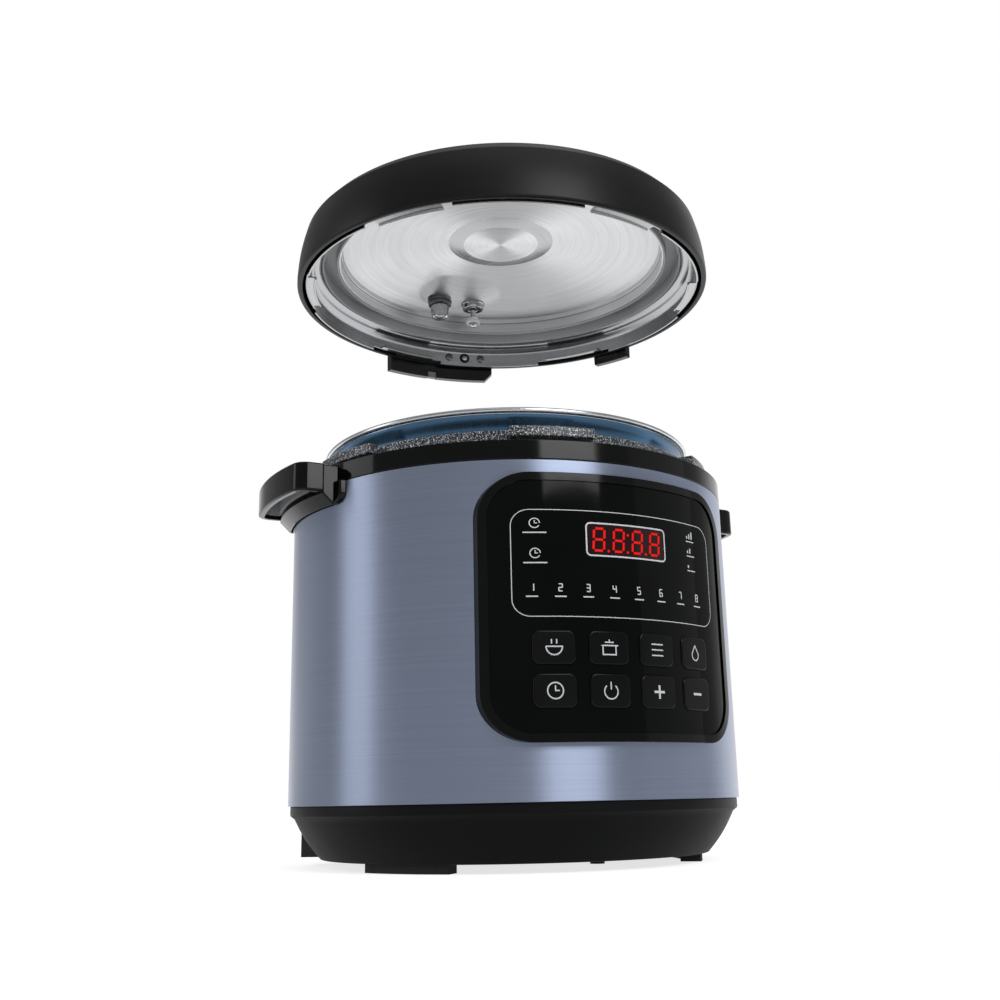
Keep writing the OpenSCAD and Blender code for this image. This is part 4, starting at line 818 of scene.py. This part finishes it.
spun_steel = brushed("spun_stainless", axis_rings, ("#c8c9ca", "#dfe0e1"), (0.36, 0.44), 0.2, 0.93)
# A darker, glossier copy of the lid's steel. Its darker tone is painted shade on the boss's slope and on
# everything outside the disc.
pressed_steel = brushed("stainless_painted_shade", axis_rings, ("#9b9d9f", "#abadaf"), (0.18, 0.27), 0.25, 0.6)
lid_z = corners("lid_shell")[0].z + 0.5
disc_r, disc_edge_h, disc_rise, boss_r, boss_flat, boss_drop = 110.0, 30.5, 12.0, 36.5, 26.0, 3.0
skirt_in, skirt_out, plate_t, wall_r, groove_h, disc_steps = 133.4, 134.6, 1.2, 124.1, 27.1, 70
pad_angle, pad_at_r, pad_half, pad_r, pad_spread = 86.0, 87.0, 13.5, 10.0, 3.0
pad_h = disc_h(100.0) - 0.3
boss_h = disc_h(0) - boss_drop
under_disc = [(0, boss_h), (boss_flat * 0.5, boss_h), (boss_flat, boss_h)]
for i in range(disc_steps + 1):
    r = boss_r + (disc_r - boss_r) * i / disc_steps
    under_disc.append((r, disc_h(r)))
under_side = [(disc_r + 0.4, groove_h), (wall_r, groove_h), (wall_r, 16), (wall_r + 1, 14.6),
              (wall_r + 3, 13.5), (wall_r + 5, 13.5), (wall_r + 6.4, 12.9), (skirt_in - 1.2, 11),
              (skirt_in, 9), (skirt_in, 1.9)]
over_side = [(skirt_out, 1.9), (skirt_out, 9.6), (skirt_out - 1.4, 12.0), (wall_r + 5.6, 14.7),
             (wall_r + 3.6, 14.7), (wall_r + 1.2, 16.6), (wall_r + 1.2, groove_h + 1.2),
             (disc_r + 1.6, groove_h + 1.2), (disc_r + 1.2, disc_edge_h + 1)]
over_disc = [(r, h + plate_t) for r, h in reversed(under_disc) if r < disc_r - 1]
lid_bm = spun(lifted(under_disc + under_side + over_side + over_disc, lid_z), 240)
pad_way = Vector((-sin(radians(pad_angle)), cos(radians(pad_angle))))
pad_middle = Vector((pad_at_r * cos(radians(pad_angle)), pad_at_r * sin(radians(pad_angle))))
for v in lid_bm.verts:
    flat = v.co.xy
    if boss_r < flat.length < disc_r - 0.5:
        along = max(-pad_half, min(pad_half, (flat - pad_middle).dot(pad_way)))
        away = (flat - pad_middle - pad_way * along).length
        on_top = v.co.z - lid_z > disc_h(flat.length) + plate_t / 2
        dent = pad_h + max(0.0, away - pad_r) / pad_spread + plate_t * on_top
        v.co.z = min(v.co.z, lid_z + dent)
soften(lid_bm, 0.35, 2, 35)
# The boss's sloping ring takes the darker steel: painted shade.
for face in lid_bm.faces:
    face.material_index = int(boss_flat < hypot(*face.calc_center_median().xy) < boss_r)
lug_in, lid_lug_first, lid_lug_span, window_gap = 127.7, -83, 20, 3
lid_lug = [(lug_in, 0.8), (lug_in + 1.2, 0.8), (lug_in + 1.4, 1.8), (skirt_in + 0.6, 1.8),
           (skirt_in + 0.6, 3.0), (lug_in, 3.0)]
skirt = [(skirt_in, -0.5), (skirt_out, -0.5), (skirt_out, 2.4), (skirt_in, 2.4)]
lid_parts = [lid_bm]
for i in range(lug_count):
    first = lid_lug_first + i * lug_turn - lid_lug_span / 2
    last = first + lid_lug_span
    for outline, start, end, width in ((lid_lug, first, last, 0.3),
                                       (skirt, last + window_gap, first + lug_turn - window_gap, 0.25)):
        lid_parts.append(soften(swept(lifted(outline, lid_z), start, end), width, 2))
whole_lid = joined(lid_parts)
# Faces outside the disc take the darker steel too: painted shade on the groove, ledge, skirt and lugs.
for face in whole_lid.faces:
    if hypot(*face.calc_center_median().xy) > disc_r + 1:
        face.material_index = 1
steel_lid = finished(whole_lid, "steel_lid", "lid", spun_steel, ["lid_shell"], sharp=50)
steel_lid.data.materials.append(pressed_steel)
dress(spun_steel, "seal_rack")

# ---- Sealing ring ----
# A ring of light grey silicone rubber, moulded, with two lips that close on the pot's rim.
# It is dull and a little translucent at its edges.
silicone = grained("moulded_silicone", 1.4, 0.06, ("#adafb0", "#bbbdbe"), (0.4, 0.52),
                   Subsurface_Weight=0.12, Subsurface_Scale=0.002)
seal_low, seal_high = corners("sealing_ring")
seal_out, seal_z, seal_top, seal_w, lip = seal_high.x, seal_low.z, seal_high.z, 11.6, 1.6
seal_in, ceiling = seal_out - seal_w, seal_z + 8.8
seal_outline = [(seal_out - lip, seal_z), (seal_out, seal_z), (seal_out, seal_top), (seal_in, seal_top),
                (seal_in, seal_z + 3), (seal_in + lip, seal_z + 3), (seal_in + lip, ceiling),
                (seal_out - lip, ceiling)]
finished(soften(spun(seal_outline, 240), 0.6, 3), "silicone_seal", "seal", silicone,
         ["sealing_ring"])

# ---- Exhaust valve, underneath ----
# A knurled steel nut clamps the exhaust pipe, and a faceted steel cap with a slotted cross guards it.
# The cap is bright and the nut a shade darker, with dark grooves between them.
turned_steel = grained("turned_stainless", 0.8, 0.03, ("#a9abad", "#bfc1c3"), (0.09, 0.16), Metallic=1.0)
dark_turned = grained("pickled_stainless", 0.8, 0.05, ("#636567", "#787a7c"), (0.16, 0.26), Metallic=1.0)
release_a, float_a, valve_r = 95.0, 77.0, 87.0


def stand_at(bm, angle, radius=valve_r):
    """Moves a piece made on the pot's axis out to an angle and a distance."""
    return moved(bm, Matrix.Translation((radius * cos(radians(angle)), radius * sin(radians(angle)), 0)))


def crossed(piece, place, first, size):
    """Cuts two slots of a size that cross at a place."""
    for angle in (first, first + 90):
        slot = bmesh.new()
        way = place @ Matrix.Rotation(radians(angle), 4, "Z")
        bmesh.ops.create_cube(slot, size=1, matrix=way @ Matrix.Diagonal((*size, 1)))
        carve(piece, slot)


dress(turned_steel, "exhaust_pipe")
nut_z, nut_top = levels("exhaust_nut")
nut_h, nut_r, nut_steps, tooth = nut_top - nut_z, 9, 72, 0.45
nut_outline = [(5.1, 0), (7.9, 0), (8.6, 0.5), (8.6, 2.3), (8.0, 2.5), (8.0, 2.9), (nut_r, 3.1), (nut_r, 4),
               (7.5, 4.1), (7.5, nut_h), (5.1, nut_h)]
nut_bm = spun(lifted(nut_outline, nut_z), nut_steps)
for v in nut_bm.verts:
    step = round(degrees(atan2(v.co.y, v.co.x)) * nut_steps / 360)
    if hypot(v.co.x, v.co.y) > 8.5 and v.co.z < nut_z + 2.4 and step % 2:
        v.co.xy = v.co.xy * (1 - tooth / nut_r)
finished(stand_at(nut_bm, release_a), "exhaust_nut_ring", "lid", dark_turned, ["exhaust_nut"], sharp=20)
cap_z, cap_top = levels("exhaust_filter")
cap_h, cap_sides, cap_foot, cap_head = cap_top - cap_z, 12, 6.3, 7.0
slot_len, slot_w, slot_deep = 16, 0.9, 2.4
cap = bmesh.new()
bmesh.ops.create_cone(cap, cap_ends=True, segments=cap_sides, radius1=cap_foot, radius2=cap_head,
                      depth=cap_h, matrix=Matrix.Translation((0, 0, cap_h / 2)))
end_face = min(cap.faces, key=lambda f: f.calc_center_median().z)
bmesh.ops.inset_region(cap, faces=[end_face], thickness=1.3, depth=0.5)
soften(cap, 0.5, 2, 25)
spot = Matrix.Translation((valve_r * cos(radians(release_a)), valve_r * sin(radians(release_a)), cap_z))
moved(cap, spot)
filter_cap = finished(cap, "exhaust_cap", "exhaust_filter", turned_steel, ["exhaust_filter"], sharp=20)
crossed(filter_cap, spot, 20, (slot_len, slot_w, slot_deep))

# ---- Float valve ----
# A steel cup guides the float's stem, whose lower end holds a white silicone bead and whose upper
# end is lacquered red. It hangs down when there is no pressure, as here.
guide_z, guide_top = levels("float_guide")
guide_h, bore = guide_top - guide_z, 2.35
guide_outline = [(bore, 2.2), (3.4, 2.2), (3.6, 0.3), (3.9, 0), (7.4, 0), (7.9, 0.5), (8.5, 3.3), (9.0, 3.5),
                 (9.0, 4.1), (8.6, 4.3), (8.6, 4.6), (4.0, 4.6), (4.0, guide_h), (bore, guide_h)]
guide_bm = soften(spun(lifted(guide_outline, guide_z), 64), 0.2, 2, 40)
finished(stand_at(guide_bm, float_a), "float_guide_cup", "lid", turned_steel, ["float_guide"])
stem_z, stem_top = levels("float_pin")
stem_r, foot_out, tip_z = 2.0, 3.1, stem_top - 6
stem_outline = [(0, stem_z), (1.7, stem_z + 0.1), (2.7, stem_z + 0.5), (foot_out, stem_z + 1.1),
                (foot_out, stem_z + 2.0), (stem_r, stem_z + 2.0), (stem_r, tip_z), (0, tip_z)]
finished(stand_at(spun(stem_outline, 32), float_a), "float_stem", "float_valve", turned_steel, ["float_pin"])
pin_red = grained("lacquered_pin_tip", 0.6, 0.05, ("#a92f26", "#c53d31"), (0.25, 0.36))
tip_outline = [(0, tip_z), (stem_r, tip_z), (stem_r, stem_top - 0.6), (1.4, stem_top), (0, stem_top)]
finished(stand_at(soften(spun(tip_outline, 32), 0.2, 2), float_a), "float_tip", "float_valve", pin_red)
white_silicone = grained("white_silicone", 1.0, 0.05, ("#e4e5e4", "#f1f2f1"), (0.36, 0.46),
                         Subsurface_Weight=0.1, Subsurface_Scale=0.002)
soft_z, soft_top = levels("float_cap")
soft_h, soft_in, bead_r = soft_top - soft_z, 2.05, 5.6
bead = [(soft_in, 0.6), (3.9, 0.2), (4.9, 0), (bead_r, 0.9), (bead_r, 2.1), (4.2, 2.8), (4.2, soft_h),
        (soft_in, soft_h)]
bead_bm = soften(spun(lifted(bead, soft_z), 48), 0.3, 3)
finished(stand_at(bead_bm, float_a), "float_silicone", "float_valve", white_silicone, ["float_cap"])


# ---- Lid cover ----
# A shell of satin black polypropylene over the steel lid, with holes for the pipe and the float.
# A fine spark-eroded texture softens the light that falls on its band.
def crown_h(r):
    """Height of the cover's crown above the lid's edge."""
    return band_top_h + crown_rise * (1 - (r / top_r) ** 2)


cover_black = grained("satin_polypropylene", 0.8, 0.08, ("#08090a", "#0c0c0d"), (0.35, 0.42), 0.2)
cover_r, taper, cover_wall, band_top_h, crown_rise, lip_in = 140.1, 6.0, 2.6, 40.5, 13.0, 136.7
top_r, crown_steps, crown_inset = cover_r - taper, 24, 5
crown_edge = top_r - crown_inset
cover_crown = [(crown_edge * i / crown_steps, crown_h(crown_edge * i / crown_steps))
               for i in range(crown_steps + 1)]
cover_side = [(cover_r - 0.8, 0), (cover_r, 0.9), *bow((cover_r, 5), (top_r + 0.6, 35.5), 1.0, 10)]
inner_crown = [(r * (crown_edge - cover_wall) / crown_edge, h - cover_wall) for r, h in cover_crown]
cover_inner = [(top_r - cover_wall - 0.6, 32.9), (lip_in, 9), (lip_in, 0)]
cover_outline = inner_crown + cover_inner + cover_side + cover_crown[::-1]
cover_bm = soften(spun(lifted(cover_outline, lid_z), 240), 1.6, 4, 25)
cover = finished(cover_bm, "lid_cover_shell", "lid", cover_black, ["lid_cover"], sharp=50)
for angle, hole_r in ((release_a, 5.3), (float_a, 4.3)):
    hole = bmesh.new()
    bmesh.ops.create_cone(hole, cap_ends=True, segments=40, radius1=hole_r, radius2=hole_r, depth=30,
                          matrix=Matrix.Translation((0, 0, lid_z + crown_h(valve_r))))
    carve(cover, stand_at(hole, angle))

# ---- Lid screws and lock pin ----
# Two pan-head screws with cross recesses hold the rear bracket to the skirt, either side of the pin.
# The pin's hole is lined with a black bush, and the pin shines brighter than the screws.
screw_h, screw_angles, pin_angle = 6.0, (70, 81), 75.5
head_r, head_h, shank_r, shank_len, cross_len, cross_w, cross_deep = 3.0, 1.6, 1.5, 6.5, 3.8, 0.9, 1.6


def through_skirt(angle, radius):
    """The place of a piece made upright that points through the skirt towards the pot's axis."""
    return (Matrix.Rotation(radians(angle), 4, "Z") @ Matrix.Translation((radius, 0, lid_z + screw_h))
            @ Matrix.Rotation(radians(-90), 4, "Y"))


screw_outline = [(0, head_h), (1.4, 1.55), (2.5, 1.2), (head_r, 0.6), (head_r, 0), (shank_r, 0),
                 (shank_r, -shank_len), (0, -shank_len)]
for angle in screw_angles:
    place = through_skirt(angle, skirt_in - 0.1)
    stands_for = ["lid_screws"] if angle == screw_angles[0] else ()
    screw_bm = moved(soften(spun(screw_outline, 32), 0.12, 2, 40), place)
    screw = finished(screw_bm, "lid_screw_%d" % angle, "lid", dark_turned, stands_for, 25)
    crossed(screw, place @ Matrix.Translation((0, 0, 1.5)), 30, (cross_len, cross_w, cross_deep))
lock_z, lock_top = levels("lock_pin")
lock_r = (lock_top - lock_z) / 2
place = through_skirt(pin_angle, skirt_in)
lock_outline = [(0, 1.5), (lock_r * 0.6, 1.35), (lock_r, 0.9), (lock_r, -5.5), (0, -5.5)]
finished(moved(spun(lock_outline, 32), place), "lock_pin_rod", "lock_pin", turned_steel, ["lock_pin"])
bush_in, bush_r = lock_r + 0.2, lock_r + 2.0
bush_outline = [(bush_in, 0), (bush_in, 0.8), (lock_r + 1.4, 0.8), (bush_r, 0.3), (bush_r, 0)]
bush_bm = moved(soften(spun(bush_outline, 32), 0.12, 2), place)
finished(bush_bm, "pin_bush", "lid", cover_black)

# ---- Grip, rear bracket, tab and knob ----
# Moulded in black plastic with soft edges, and screwed to the cover or the steel lid.
# The bracket and tab are glossier than the cover; a grey clip closes the bracket's notch.
gloss_lid = grained("moulded_gloss_abs", 6, 0.02, ("#040405", "#070708"), (0.13, 0.2), 0.35)
clip_grey = grained("moulded_grey_nylon", 1.0, 0.08, ("#7c7e81", "#8f9194"), (0.36, 0.46))
for node, width, body, finish in (("lid_grip", 2.0, "lid", cover_black),
                                  ("lid_rear_bracket", 0.5, "lid", gloss_lid),
                                  ("lid_tab", 0.5, "lid", gloss_lid),
                                  ("release_knob", 0.8, "release_knob", cover_black)):
    finished(softened(node, width, 3), node + "_moulding", body, finish, [node])
clip = bmesh.new()
block(clip, (140.8, -3.5, lid_z - 9.9), (144.9, 3.5, lid_z - 5.1), 86)
block(clip, (141.2, -0.5, lid_z - 9.9), (145.15, 0.5, lid_z - 4.5), 100.6)
finished(soften(clip, 0.35, 2), "bracket_clip", "lid", clip_grey)
